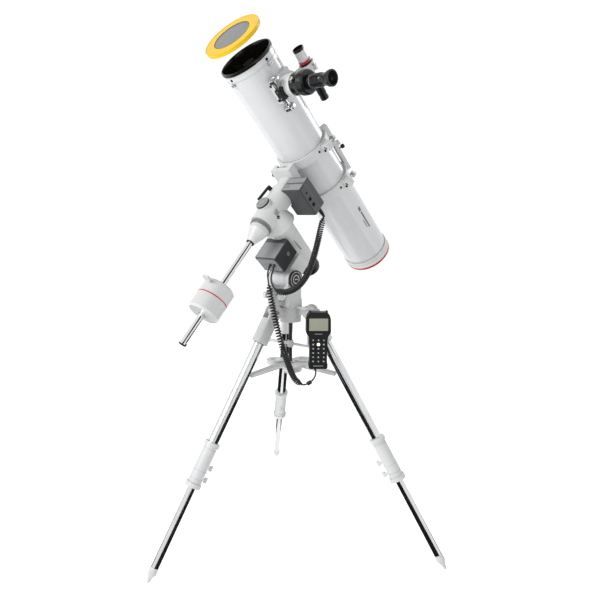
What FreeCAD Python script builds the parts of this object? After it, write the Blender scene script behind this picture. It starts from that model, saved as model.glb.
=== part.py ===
"""Newtonian telescope on a motorised equatorial mount and a steel tripod.

Millimetres, +Z up. The origin is on the ground under the middle of the whole object. The tripod's column stands at
(column_x, column_y). Each sub-part is modelled in the frame of the assembly that carries it, and then placed.
"""
import FreeCAD
import Part
import Sketcher
import math
import os
import re
from types import SimpleNamespace

Vector = FreeCAD.Vector
SIZES = dict(
    # tripod
    column_x=-16.9, column_y=-97.5, tripod_turn=3.9, leg_length=850, leg_splay=30.6, hinge_radius=66.3,
    hub_radius=34, hub_bottom=696, hub_top=743, lug_width=24, lug_radius=15, pin_radius=4, pin_length=40,
    socket_width=40, socket_depth=42, socket_bottom=743, fork_bottom=822, fork_gap=25,
    outer_tube_radius=16, outer_tube_bore=14.2, outer_tube_bottom=300, outer_tube_top=800,
    inner_tube_radius=11, inner_tube_bore=9.6, inner_tube_top=440, foot_top=46, foot_radius=12.5, tip_radius=5,
    collar_bottom=284, collar_top=420, collar_radius=20.5, collar_rim=24, collar_rim_height=12,
    leg_knob_radius=8, leg_knob_height=9,
    rod_radius=6, rod_bottom=520, rod_top=760, handle_height=622, handle_length=92, handle_radius=4.5, handle_turn=-36,
    handle_ball=7.5, handle_hub=10,
    tray_top=560, tray_thickness=8, tray_radius=52, tray_hole=16, tray_hole_place=52, tray_lobe=30,
    tray_reach=153, tray_arm_width=20, tray_arm_drop=14, tray_nut_radius=19, tray_nut_height=20,
    # azimuth base
    base_radius=36, base_height=24.6, base_gap=0.4, cheek_inner=30, cheek_outer=42, cheek_radius=30,
    pivot_forward=27, pivot_height=836, pivot_radius=8, pivot_cap_radius=28, pivot_cap_height=6,
    screw_block=78, screw_height=785, screw_radius=4, screw_knob=10.5,
    # handset
    handset_x=78.5, handset_y=-100, handset_bottom=571, handset_height=178, handset_width=75, handset_neck=52,
    handset_depth=30, key_travel=1.2,
    # mount head
    pole_heading=224.3, latitude=43.5, polar_reach=188, polar_offset=102,
    polar_bottom=-225, polar_top=-56, polar_radius_low=33, polar_radius_high=40, polar_shaft_radius=15,
    end_cap_length=43, end_cap_radius=34, motor_width=88, motor_bottom=-115, motor_top=-34,
    motor_rear=-136, motor_front=-77,
    dec_radius=38, dec_low=-50, dec_high=85, hood_low=-52, hood_radius=54, hood_top_radius=40, boss_radius=24,
    boss_length=41, scope_cap_radius=20, scope_cap_height=7, dec_shaft_radius=14,
    ring_low=-64, ring_radius=32.5, cone_low=-118, cone_radius=29.5, cone_tip=13,
    bar_radius=9, bar_end=-472, bar_cap_radius=11.5, bar_cap_height=6,
    dec_box_side=20, dec_box_width=80, dec_box_low=62, dec_box_height=56, dec_box_rear=-74, dec_box_length=104,
    weight_radius=47, weight_length=94, weight_top=-285, weight_screw_place=-301, weight_screw_lean=12,
    lever_place=66, lever_lean=115, lever_turn=-28,
    neck_radius=34, neck_top=120, saddle_half=60, saddle_width=76, saddle_top=134, jaw_top=148,
    dovetail_width=44, dovetail_front=42, dovetail_rear=-136,
    # optical tube, measured from the declination axis along the tube
    tube_offset=248, tube_radius=80, tube_bore=78.5, tube_front=363, tube_rear=-450, rim_radius=82.2, rim_bore=76.5,
    rim_length=9, cell_radius=82.5, cell_front=-440, cell_rear=-474, mirror_radius=65, mirror_rear=-452,
    mirror_thickness=20, band_bore=80.4, band_radius=88, band_width=30, band_front=35, band_rear=-115,
    band_foot=100, lug_reach=112, hinge_offset=95, handle_angle=62,
    spider_place=340, vane_width=22, vane_thickness=1.2, vane_turn=-8, secondary_radius=18,
    focuser_place=262, focuser_tilt=-5, focuser_radius=29, focuser_top=104, focuser_collar_top=129, drawtube_radius=25, drawtube_bore=22.5,
    pinion_y=37, pinion_z=99, knob_radius=17.5, knob_place=38, knob_width=13,
    holder_radius_low=28.5, holder_step=155, holder_ring=33.5, holder_top=181,
    barrel_radius=15.8, eyepiece_radius=18.5, eyepiece_end=262, eyecup_radius=21.5,
    finder_angle=61, finder_reach=143, finder_front=296, finder_rear=118, finder_radius=17, finder_ring=20.5,
    bracket_place=232, bracket_width=26,
    filter_radius=85.4, filter_bore=82.8, filter_film=56, filter_lift=4.6, filter_swing=823, filter_axis=48,
    # cords
    lead_diameter=5, coil_diameter=20, plug_diameter=12,
)
s = SimpleNamespace(**SIZES)
doc = FreeCAD.newDocument("telescope")
sheet = doc.addObject("Spreadsheet::Sheet", "Sizes")
for row, (alias, number) in enumerate(SIZES.items(), 1):
    sheet.set(f"A{row}", alias)
    sheet.set(f"B{row}", str(number))
    sheet.setAlias(f"B{row}", alias)
doc.recompute()
SUBPARTS = []


# ---------------------------------------------------------------- helpers
def bind(thing, **formulas):
    """Binds properties to formulas whose words are the sheet's aliases; a plain number is set as it is."""
    for name, formula in formulas.items():
        if isinstance(formula, str):
            thing.setExpression(name, re.sub(r"[a-z][a-z_]+", lambda word: "Sizes." + word.group(0), formula))
        else:
            setattr(thing, name, formula)
    return thing


def at(x=0.0, y=0.0, z=0.0, axis=(0, 0, 1)):
    """A placement at a point, with the piece's own Z along axis."""
    return FreeCAD.Placement(Vector(x, y, z), FreeCAD.Rotation(Vector(0, 0, 1), Vector(*axis)))


def frame(origin, x_axis, y_axis, z_axis):
    """The placement of a frame with these axes."""
    columns = [Vector(*x_axis), Vector(*y_axis), Vector(*z_axis)]
    matrix = FreeCAD.Matrix(
        columns[0].x, columns[1].x, columns[2].x, origin[0],
        columns[0].y, columns[1].y, columns[2].y, origin[1],
        columns[0].z, columns[1].z, columns[2].z, origin[2],
        0, 0, 0, 1)
    return FreeCAD.Placement(matrix)


def cylinder(radius, height, place=at()):
    rod = bind(doc.addObject("Part::Cylinder", "cylinder"), Radius=radius, Height=height)
    rod.Placement = place
    return rod


def cone(low, high, height, place=at()):
    taper = bind(doc.addObject("Part::Cone", "cone"), Radius1=low, Radius2=high, Height=height)
    taper.Placement = place
    return taper


def ball(radius, place=at()):
    sphere = bind(doc.addObject("Part::Sphere", "ball"), Radius=radius)
    sphere.Placement = place
    return sphere


def box(length, width, height, x, y, z, turn=0):
    """A box centred on x and y and standing on z, turned about Z through the frame's origin."""
    block = bind(doc.addObject("Part::Box", "block"), Length=length, Width=width, Height=height)
    doc.recompute()
    corner = Vector(x - float(block.Length) / 2, y - float(block.Width) / 2, z)
    spin = FreeCAD.Rotation(Vector(0, 0, 1), turn)
    block.Placement = FreeCAD.Placement(spin.multVec(corner), spin)
    return block


def fuse(*pieces):
    joined = doc.addObject("Part::MultiFuse", "joined")
    joined.Shapes = list(pieces)
    return joined


def cut(base, *tools):
    for tool in tools:
        result = doc.addObject("Part::Cut", "cut")
        result.Base = base
        result.Tool = tool
        base = result
    return base


def common(first, second):
    shared = doc.addObject("Part::Common", "shared")
    shared.Base = first
    shared.Tool = second
    return shared


def group(*pieces):
    bundle = doc.addObject("Part::Compound", "group")
    bundle.Links = list(pieces)
    return bundle


def rounded(piece, radius, wanted):
    """Fillets the edges of piece for which wanted(edge) holds."""
    doc.recompute()
    numbers = [i for i, edge in enumerate(piece.Shape.Edges, 1) if wanted(edge)]
    soft = doc.addObject("Part::Fillet", "rounded")
    soft.Base = piece
    soft.Edges = [(i, radius, radius) for i in numbers]
    return soft


def along(axis):
    """Tells whether an edge is straight and lies along the given axis."""
    def test(edge):
        if edge.Curve.TypeId != "Part::GeomLine":
            return False
        return abs(edge.tangentAt(edge.FirstParameter).dot(Vector(*axis))) > 0.999
    return test


def turned(profile, place=at()):
    """A PartDesign body turned about Z: profile is a closed outline of (radius, height) formulas."""
    body = doc.addObject("PartDesign::Body", "turned")
    plane = [item for item in body.Origin.OriginFeatures if item.Role == "XZ_Plane"][0]
    sketch = body.newObject("Sketcher::SketchObject", "outline")
    sketch.AttachmentSupport = (plane, "")
    sketch.MapMode = "FlatFace"
    points = [(number_of(radius), number_of(height)) for radius, height in profile]
    count = len(points)
    for i in range(count):
        start, end = points[i], points[(i + 1) % count]
        sketch.addGeometry(Part.LineSegment(Vector(*start, 0), Vector(*end, 0)), False)
    for i in range(count):
        sketch.addConstraint(Sketcher.Constraint("Coincident", i, 2, (i + 1) % count, 1))
    for i, (radius, height) in enumerate(profile):
        for kind, formula, axis in (("DistanceX", radius, -2), ("DistanceY", height, -1)):
            value = number_of(formula)
            if value == 0:
                sketch.addConstraint(Sketcher.Constraint("PointOnObject", i, 1, axis))
                continue
            index = sketch.addConstraint(Sketcher.Constraint(kind, i, 1, value))
            if isinstance(formula, str):
                bind(sketch, **{f"Constraints[{index}]": formula})
    spin = body.newObject("PartDesign::Revolution", "turn")
    spin.Profile = sketch
    spin.ReferenceAxis = (sketch, ["V_Axis"])
    spin.Angle = 360
    body.Placement = place
    return body


def plate(outline, thickness, place=at()):
    """A PartDesign body: a closed outline of (x, y) numbers padded upwards by a formula."""
    body = doc.addObject("PartDesign::Body", "plate")
    plane = [item for item in body.Origin.OriginFeatures if item.Role == "XY_Plane"][0]
    sketch = body.newObject("Sketcher::SketchObject", "outline")
    sketch.AttachmentSupport = (plane, "")
    sketch.MapMode = "FlatFace"
    for i, start in enumerate(outline):
        end = outline[(i + 1) % len(outline)]
        sketch.addGeometry(Part.LineSegment(Vector(*start, 0), Vector(*end, 0)), False)
    for i in range(len(outline)):
        sketch.addConstraint(Sketcher.Constraint("Coincident", i, 2, (i + 1) % len(outline), 1))
    pad = body.newObject("PartDesign::Pad", "pad")
    pad.Profile = sketch
    bind(pad, Length=thickness)
    body.Placement = place
    return body


def number_of(formula):
    """The value of a formula made of aliases and numbers joined by + and -."""
    if not isinstance(formula, str):
        return float(formula)
    total = 0.0
    for sign, word in re.findall(r"([+-]?)\s*([a-z_]+|[\d.]+)", formula):
        value = SIZES[word] if word in SIZES else float(word)
        total += -value if sign == "-" else value
    return total


def subpart(label, piece, place=FreeCAD.Placement()):
    """Names a finished piece and moves it from its assembly's frame to the object's frame."""
    piece.Label = label
    piece.Placement = place.multiply(piece.Placement)
    SUBPARTS.append(piece)


# ---------------------------------------------------------------- frames
column = at(s.column_x, s.column_y)
heading = math.radians(s.pole_heading)
tilt = math.radians(s.latitude)
forward = Vector(math.cos(heading), math.sin(heading), 0)
polar_axis = forward * math.cos(tilt) + Vector(0, 0, math.sin(tilt))
dec_axis = forward * -math.sin(tilt) + Vector(0, 0, math.cos(tilt))
side_axis = dec_axis.cross(polar_axis)
pivot = column.Base + forward * s.pivot_forward + Vector(0, 0, s.pivot_height)
head_centre = pivot + polar_axis * s.polar_reach + dec_axis * s.polar_offset
BASE = frame(column.Base, forward, side_axis, (0, 0, 1))
HEAD = frame(head_centre, side_axis, dec_axis, polar_axis)
TUBE = HEAD.multiply(at(0, s.tube_offset, 0))
focus_angle = math.radians(s.focuser_tilt)
focus_axis = Vector(math.cos(focus_angle), math.sin(focus_angle), 0)
FOCUSER = TUBE.multiply(frame((0, 0, s.focuser_place), (0, 0, 1), focus_axis.cross(Vector(0, 0, 1)), focus_axis))
FOCUS_IN_TUBE = TUBE.inverse().multiply(FOCUSER)
s.band_foot_top = s.jaw_top - s.saddle_top - 0.3
LEG_ANGLES = {"left": 210, "right": 330, "rear": 90}
splay = math.radians(s.leg_splay)
foot_circle = s.hinge_radius + s.leg_length * math.sin(splay)
hinge_height = s.leg_length * math.cos(splay)


def leg_frame(angle):
    """Origin where the leg's axis meets the ground, Z up along the leg, X along its hinge pin."""
    turn = math.radians(angle + s.tripod_turn)
    outward = Vector(math.cos(turn), math.sin(turn), 0)
    up_leg = outward * -math.sin(splay) + Vector(0, 0, math.cos(splay))
    pin = Vector(-math.sin(turn), math.cos(turn), 0)
    return frame(column.Base + outward * foot_circle, pin, up_leg.cross(pin), up_leg)


# ---------------------------------------------------------------- tripod
def tripod_hub():
    body = cylinder("hub_radius", "hub_top - hub_bottom", at(0, 0, s.hub_bottom))
    lugs = []
    for angle in LEG_ANGLES.values():
        turn = math.radians(angle + s.tripod_turn)
        outward = (math.cos(turn), math.sin(turn))
        arm = box(s.hinge_radius - 20, "lug_width", 22, 20 + (s.hinge_radius - 20) / 2, 0, hinge_height - 11,
                  angle + s.tripod_turn)
        pin_axis = (-outward[1], outward[0], 0)
        half = s.lug_width / 2
        start = at(outward[0] * s.hinge_radius - pin_axis[0] * half, outward[1] * s.hinge_radius - pin_axis[1] * half,
                   hinge_height, pin_axis)
        lugs += [arm, cylinder("lug_radius", "lug_width", start)]
    bore = cylinder("rod_radius + 1.5", "hub_top - hub_bottom + 2", at(0, 0, s.hub_bottom - 1))
    solid = cut(fuse(body, *lugs), bore)
    pins = []
    for angle in LEG_ANGLES.values():
        turn = math.radians(angle + s.tripod_turn)
        pin_axis = (-math.sin(turn), math.cos(turn), 0)
        half = s.pin_length / 2
        start = at(math.cos(turn) * s.hinge_radius - pin_axis[0] * half,
                   math.sin(turn) * s.hinge_radius - pin_axis[1] * half, hinge_height, pin_axis)
        solid = cut(solid, cylinder("pin_radius", "pin_length", start))
        pins.append(cylinder("pin_radius", "pin_length", start))
    subpart("tripod_hub", group(solid, *pins), column)


def leg_socket(name, place):
    width, depth = s.socket_width, s.socket_depth
    top = s.leg_length - s.socket_bottom
    block = rounded(box("socket_width", "socket_depth", top, 0, 0, s.socket_bottom), 9, along((0, 0, 1)))
    head = cylinder(depth / 2, "socket_width", at(-width / 2, 0, s.leg_length, (1, 0, 0)))
    fork = box("fork_gap", depth + 2, 80, 0, 0, s.fork_bottom)
    bore = cylinder("outer_tube_radius", s.outer_tube_top - s.socket_bottom + 1, at(0, 0, s.socket_bottom - 1))
    pin = cylinder("pin_radius + 0.08", width + 2, at(-width / 2 - 1, 0, s.leg_length, (1, 0, 0)))
    subpart(f"leg_{name}_socket", cut(fuse(block, head), fork, bore, pin), place)


def leg_outer_tube(name, place):
    wall = cylinder("outer_tube_radius", "outer_tube_top - outer_tube_bottom", at(0, 0, s.outer_tube_bottom))
    bore = cylinder("outer_tube_bore", "outer_tube_top - outer_tube_bottom + 2", at(0, 0, s.outer_tube_bottom - 1))
    subpart(f"leg_{name}_outer_tube", cut(wall, bore), place)


def leg_collar(name, place):
    """The clamp collar at the lower end of the outer tube, with its two wing knobs."""
    clamp = turned([
        ("inner_tube_radius + 0.08", "collar_bottom"), ("collar_rim", "collar_bottom"),
        ("collar_rim", "collar_bottom + collar_rim_height"), ("collar_radius", "collar_bottom + collar_rim_height"),
        ("collar_radius", "collar_top - collar_rim_height"), ("collar_rim", "collar_top - collar_rim_height"),
        ("collar_rim", "collar_top"), ("outer_tube_radius", "collar_top"),
        ("outer_tube_radius", "outer_tube_bottom"), ("inner_tube_radius + 0.08", "outer_tube_bottom")])
    knobs = []
    for height in (s.collar_bottom + 26, s.collar_bottom + 62):
        stem = cylinder(3.5, 12, at(0, s.collar_radius - 1, height, (0, 1, 0)))
        head = box(5, "leg_knob_height", 2 * s.leg_knob_radius, 0, s.collar_radius + 13, height - s.leg_knob_radius)
        knobs.append(fuse(stem, head))
    subpart(f"leg_{name}_collar", fuse(clamp, *knobs), place)


def leg_inner_tube(name, place):
    wall = cylinder("inner_tube_radius", "inner_tube_top - foot_top", at(0, 0, s.foot_top))
    bore = cylinder("inner_tube_bore", "inner_tube_top - foot_top + 2", at(0, 0, s.foot_top - 1))
    tip = s.tip_radius / math.cos(splay)
    spike = cone("tip_radius", "foot_radius", 20, at(0, 0, tip))
    cup = cylinder("foot_radius", s.foot_top - 20 - tip, at(0, 0, tip + 20))
    foot = fuse(ball("tip_radius", at(0, 0, tip)), spike, cup)
    subpart(f"leg_{name}_inner_tube", group(cut(wall, bore), foot), place)


def centre_bolt():
    """The threaded rod that pulls the mount head onto the tripod, and the T handle that turns it."""
    rod = cylinder("rod_radius", "rod_top - rod_bottom", at(0, 0, s.rod_bottom))
    half = s.handle_length / 2
    turn = math.radians(s.handle_turn)
    direction = (math.cos(turn), math.sin(turn), 0)
    bar = cylinder("handle_radius", "handle_length",
                   at(-direction[0] * half, -direction[1] * half, s.handle_height, direction))
    ends = [ball("handle_ball", at(direction[0] * end, direction[1] * end, s.handle_height)) for end in (-half, half)]
    boss = cylinder("handle_hub", 24, at(0, 0, s.handle_height - 12))
    handle = cut(fuse(bar, boss, *ends), cylinder("rod_radius", 30, at(0, 0, s.handle_height - 15)))
    subpart("centre_bolt", group(rod, handle), column)


def spreader_tray():
    """Accessory tray: a round plate with three eyepiece lobes and three arms whose tips brace the legs."""
    level = s.tray_top - s.tray_thickness
    pieces = [cylinder("tray_radius", "tray_thickness", at(0, 0, level))]
    holes = []
    for angle in LEG_ANGLES.values():
        arm_turn = angle + s.tripod_turn
        lobe_turn = math.radians(arm_turn + 60)
        place = (math.cos(lobe_turn) * s.tray_hole_place, math.sin(lobe_turn) * s.tray_hole_place)
        pieces.append(cylinder("tray_lobe", "tray_thickness + 6", at(*place, level - 3)))
        holes.append(cylinder("tray_hole", 40, at(*place, level - 20)))
        outline = [(s.tray_radius - 20, level), (s.tray_radius - 20, s.tray_top), (s.tray_radius + 8, s.tray_top),
                   (s.tray_reach, s.tray_top - s.tray_arm_drop), (s.tray_reach, s.tray_top - s.tray_arm_drop - 9),
                   (s.tray_radius + 8, level - 5)]
        turn = math.radians(arm_turn)
        outward = Vector(math.cos(turn), math.sin(turn), 0)
        across = Vector(0, 0, 1).cross(outward)
        stand = frame(across * (s.tray_arm_width / 2), outward, (0, 0, 1), outward.cross(Vector(0, 0, 1)))
        pieces.append(plate(outline, "tray_arm_width", stand))
    hub = cylinder(16, "tray_thickness + 10", at(0, 0, level - 6))
    rod = cylinder("rod_radius + 0.5", 60, at(0, 0, level - 30))
    tray = cut(fuse(*pieces, hub), rod, *holes)
    nut = cut(cylinder("tray_nut_radius", "tray_nut_height", at(0, 0, level - 6 - s.tray_nut_height)),
              cylinder("rod_radius + 0.5", 60, at(0, 0, level - 50)))
    subpart("spreader_tray", group(tray, nut), column)


# ---------------------------------------------------------------- azimuth base and handset
def base_floor(turn=0):
    """The square step of the turntable that the cheeks stand on."""
    return box(48, 2 * s.cheek_outer, 21, 18, 0, s.hub_top + s.base_gap + 3, turn)


def azimuth_base():
    """Turntable with the two cheeks that hold the altitude pivot, and the block for the azimuth screws."""
    bottom = s.hub_top + s.base_gap
    disc = cylinder("base_radius", "base_height", at(0, 0, bottom))
    cheeks = []
    for side in (-s.cheek_outer, s.cheek_inner):
        thick = s.cheek_outer - s.cheek_inner
        rise = s.pivot_height - bottom
        web = box(2 * s.cheek_radius, thick, rise - 11, s.pivot_forward, side + thick / 2, bottom + 11)
        head = cylinder("cheek_radius", thick, at(s.pivot_forward, side, s.pivot_height, (0, 1, 0)))
        cheeks += [web, head]
    web = box(60, 26, 12, 55, 0, bottom + 11)
    block = box(24, 26, 40, s.screw_block, 0, bottom + 11)
    drill = cylinder("screw_radius", 80, at(s.screw_block, -40, s.screw_height, (0, 1, 0)))
    pivot_hole = cylinder("pivot_radius", 100, at(s.pivot_forward, -50, s.pivot_height, (0, 1, 0)))
    rod = cylinder("rod_radius + 0.06", 40, at(0, 0, bottom - 10))
    body = cut(fuse(disc, base_floor(), web, block, *cheeks), drill, pivot_hole, rod)
    subpart("azimuth_base", body, BASE)
    screws = []
    for side in (-1, 1):
        shank = cylinder("screw_radius", 22, at(s.screw_block, side * 4, s.screw_height, (0, side, 0)))
        knob = cylinder("screw_knob", 12, at(s.screw_block, side * 26, s.screw_height, (0, side, 0)))
        screws.append(fuse(shank, knob))
    subpart("azimuth_screws", group(*screws), BASE)


def altitude_pivot():
    """The bolt that the polar housing tilts on, with a round cap over each end."""
    length = 2 * s.cheek_outer
    bolt = cylinder("pivot_radius", length, at(s.pivot_forward, -s.cheek_outer, s.pivot_height, (0, 1, 0)))
    caps = []
    for side in (-1, 1):
        place = at(s.pivot_forward, side * s.cheek_outer, s.pivot_height, (0, side, 0))
        caps.append(cylinder("pivot_cap_radius", "pivot_cap_height", place))
    subpart("altitude_pivot", fuse(bolt, *caps), BASE)


def handset_bracket():
    """Arm from the azimuth base to a plate behind the handset, with two lips that the handset slides between."""
    back = s.handset_y + s.handset_depth / 2
    wall, reach, lip = 3, 17, 30
    bottom = s.hub_top + s.base_gap
    low = s.handset_bottom + 66
    turn = math.atan2(back, s.handset_x - 30)
    ray = (math.cos(turn), math.sin(turn))
    outline = [(ray[0] * 34 + 7, ray[1] * 34), (s.handset_x - 24, back + 6), (s.handset_x - 38, back + 6),
               (ray[0] * 34 - 6, ray[1] * 34 - 4)]
    arm = cut(plate(outline, 6, at(0, 0, bottom + 0.6)), cylinder("base_radius", 40, at(0, 0, bottom)),
              base_floor(s.pole_heading))
    panel = box(36, wall, bottom + 6 - low, s.handset_x - 12, back + 2 + wall / 2, low)
    hook = box(16, 8, 5, s.handset_x - 31, back + 6, bottom + 1)
    width = s.handset_neck + 2 * (2.3 + wall)
    strap = box(width, wall, lip, s.handset_x, back + 2 + wall / 2, low)
    lips = [box(wall, reach, lip, s.handset_x + side * (width - wall) / 2, back + 2 + wall - reach / 2, low)
            for side in (-1, 1)]
    subpart("handset_bracket", fuse(arm, hook, panel, strap, *lips), column)


def handset():
    """Hand controller: a wide head for the screen, a slimmer grip with the keys, and a cable boss below."""
    half, neck = s.handset_width / 2, s.handset_neck / 2
    top = s.handset_height
    outline = [(-neck + 2, 0), (-neck - 2, 14), (-neck, 60), (-neck, 98), (-half, 114), (-half + 1, 156),
               (-half + 14, top), (half - 14, top), (half - 1, 156), (half, 114), (neck, 98), (neck, 60),
               (neck + 2, 14), (neck - 2, 0)]
    stand = frame((s.handset_x, s.handset_y + s.handset_depth / 2, s.handset_bottom), (1, 0, 0), (0, 0, 1), (0, -1, 0))
    shell = rounded(plate(outline, "handset_depth"), 3, along((0, 0, 1)))
    keys = []
    for row in range(6):
        for position in (-16, 0, 16):
            keys.append(cylinder(4, 3, at(position, 16 + row * 14, s.handset_depth + 0.3)))
    subpart("handset_body", shell, column.multiply(stand))
    subpart("handset_keys", group(*keys), column.multiply(stand))


# ---------------------------------------------------------------- mount head
def polar_housing():
    """Tapered housing of the polar shaft, with the tongue that hangs between the cheeks."""
    barrel = cone("polar_radius_low", "polar_radius_high", "polar_top - polar_bottom", at(0, 0, s.polar_bottom))
    width = 2 * s.cheek_inner - 1
    tongue = box(width, s.polar_offset, 56, 0, -s.polar_offset / 2, -s.polar_reach - 28)
    eye = cylinder(28, width, at(-width / 2, -s.polar_offset, -s.polar_reach, (1, 0, 0)))
    bore = cylinder("polar_shaft_radius + 0.06", 200, at(0, 0, s.polar_bottom - 10))
    hole = cylinder("pivot_radius + 0.06", 80, at(-40, -s.polar_offset, -s.polar_reach, (1, 0, 0)))
    subpart("polar_housing", cut(fuse(barrel, tongue, eye), bore, hole), HEAD)
    cap = turned([(0, "polar_bottom - end_cap_length"), ("end_cap_radius - 5", "polar_bottom - end_cap_length"),
                  ("end_cap_radius", "polar_bottom - 30"), ("end_cap_radius", "polar_bottom"),
                  ("polar_shaft_radius + 3", "polar_bottom"), ("polar_shaft_radius + 3", "polar_bottom - 8"),
                  (0, "polar_bottom - 8")])
    subpart("polar_end_cap", cap, HEAD)


def polar_motor():
    width, height = s.motor_width, s.motor_top - s.motor_bottom
    case = rounded(box("motor_width", height, s.motor_front - s.motor_rear, 0,
                       (s.motor_top + s.motor_bottom) / 2, s.motor_rear), 4, along((0, 0, 1)))
    hollow = cylinder("polar_radius_high + 0.5", 90, at(0, 0, s.motor_rear - 5))
    subpart("polar_motor_box", cut(case, hollow), HEAD)


def dec_housing():
    """The T-shaped casting that turns about the polar axis and carries the declination shaft."""
    barrel = cylinder("dec_radius", "dec_high - dec_low", at(0, s.dec_low, 0, (0, 1, 0)))
    hood = cone("hood_radius", "hood_top_radius", -s.hood_low, at(0, 0, s.hood_low))
    boss = cylinder("boss_radius", "boss_length", at())
    bore = cylinder("dec_shaft_radius + 0.06", 200, at(0, s.dec_low - 10, 0, (0, 1, 0)))
    seat = cylinder("polar_shaft_radius", 32, at(0, 0, s.hood_low - 1))
    subpart("dec_housing", cut(fuse(barrel, hood, boss), bore, seat), HEAD)
    shaft = cylinder("polar_shaft_radius", s.hood_low + 31 - s.polar_bottom + 4, at(0, 0, s.polar_bottom - 4))
    subpart("polar_shaft", shaft, HEAD)
    subpart("polar_scope_cap", cylinder("scope_cap_radius", "scope_cap_height", at(0, 0, s.boss_length)), HEAD)


def dec_lower_cover():
    """Declination setting circle and the cone that carries the counterweight bar."""
    down = at(0, 0, 0, (0, 1, 0))
    circle = turned([("dec_shaft_radius + 0.5", "ring_low"), ("ring_radius", "ring_low"),
                     ("ring_radius", "dec_low - 0.3"), ("dec_shaft_radius + 0.5", "dec_low - 0.3")], down)
    taper = turned([(0, "cone_low"), ("cone_tip", "cone_low"), ("cone_radius", "ring_low - 12"),
                    ("cone_radius", "ring_low"), (0, "ring_low")], down)
    subpart("dec_lower_cover", group(circle, taper), HEAD)
    bar = turned([(0, "bar_end - bar_cap_height"), ("bar_cap_radius", "bar_end - bar_cap_height"),
                  ("bar_cap_radius", "bar_end"), ("bar_radius", "bar_end"), ("bar_radius", "cone_low"),
                  (0, "cone_low")], down)
    subpart("counterweight_bar", bar, HEAD)


def dec_motor():
    case = rounded(box("dec_box_width", "dec_box_height", "dec_box_length", s.dec_box_side + s.dec_box_width / 2,
                       s.dec_box_low + s.dec_box_height / 2, s.dec_box_rear), 4, along((0, 0, 1)))
    hollow = cylinder("dec_radius + 2", 90, at(0, s.dec_box_low - 5, 0, (0, 1, 0)))
    subpart("dec_motor_box", cut(case, hollow), HEAD)


def dec_lever():
    """Clamp lever on the declination housing, beside the polar telescope's cap."""
    lean, turn, reach = math.radians(s.lever_lean), math.radians(s.lever_turn), 44
    out = (math.cos(lean), 0, math.sin(lean))
    start = s.dec_radius + 0.4
    stand = frame((out[0] * start, s.lever_place, out[2] * start), (out[2], 0, -out[0]), (0, 1, 0), out)
    boss = cylinder(7, 14)
    arm = box(12, reach, 8, 0, -reach / 2, 7, s.lever_turn)
    tip = cylinder(6, 8, at(math.sin(turn) * reach, -math.cos(turn) * reach, 7))
    subpart("dec_lever", fuse(boss, arm, tip), HEAD.multiply(stand))


def lean_axes(angle):
    """The axes of a frame turned by angle about its Y axis."""
    turn = math.radians(angle)
    return (math.cos(turn), 0, -math.sin(turn)), (0, 1, 0), (math.sin(turn), 0, math.cos(turn))


def counterweight():
    down = at(0, 0, 0, (0, 1, 0))
    disc = turned([("bar_radius + 0.3", "weight_top - weight_length"),
                   ("weight_radius - 5", "weight_top - weight_length"),
                   ("weight_radius", "weight_top - weight_length + 5"),
                   ("weight_radius", "weight_top - 5"), ("weight_radius - 5", "weight_top"),
                   ("bar_radius + 0.3", "weight_top")], down)
    lean = frame((0, s.weight_screw_place, 0), *lean_axes(s.weight_screw_lean))
    drill = cylinder(4, 60, lean.multiply(at(0, 0, 5)))
    subpart("counterweight", cut(disc, drill), HEAD)
    shank = cylinder(3.9, 52, at(0, 0, s.bar_radius + 0.4))
    head = rounded(box(20, 6, 18, 0, 0, 58), 2.5, along((0, 1, 0)))
    subpart("counterweight_screw", fuse(shank, head), HEAD.multiply(lean))


def saddle():
    """Neck, saddle plate and jaws that turn about the declination axis, with the clamp knob."""
    shaft = cylinder("dec_shaft_radius", s.dec_high - s.dec_low, at(0, s.dec_low, 0, (0, 1, 0)))
    subpart("dec_shaft", shaft, HEAD)
    start = s.dec_high + 0.5
    neck = cylinder("neck_radius", s.neck_top - start, at(0, start, 0, (0, 1, 0)))
    deck = box("saddle_width", "saddle_top - neck_top", "saddle_half * 2", 0, (s.neck_top + s.saddle_top) / 2,
               -s.saddle_half)
    jaw_width = (s.saddle_width - s.dovetail_width) / 2 - 1
    jaws = []
    for side in (-1, 1):
        jaws.append(box(jaw_width, "jaw_top - saddle_top", "saddle_half * 2", side * (s.saddle_width - jaw_width) / 2,
                        (s.saddle_top + s.jaw_top) / 2 - 1, -s.saddle_half))
    drill = cylinder(4, jaw_width + 10, at(-s.saddle_width / 2 - 1, (s.saddle_top + s.jaw_top) / 2, 30, (1, 0, 0)))
    subpart("saddle", cut(fuse(neck, deck, *jaws), drill), HEAD)
    middle = (s.saddle_top + s.jaw_top) / 2
    shank = cylinder(3.9, jaw_width + 8, at(-s.saddle_width / 2 - 9, middle, 30, (1, 0, 0)))
    knob = cylinder(9, 13, at(-s.saddle_width / 2 - 21, middle, 30, (1, 0, 0)))
    subpart("saddle_knob", fuse(shank, knob), HEAD)


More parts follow.
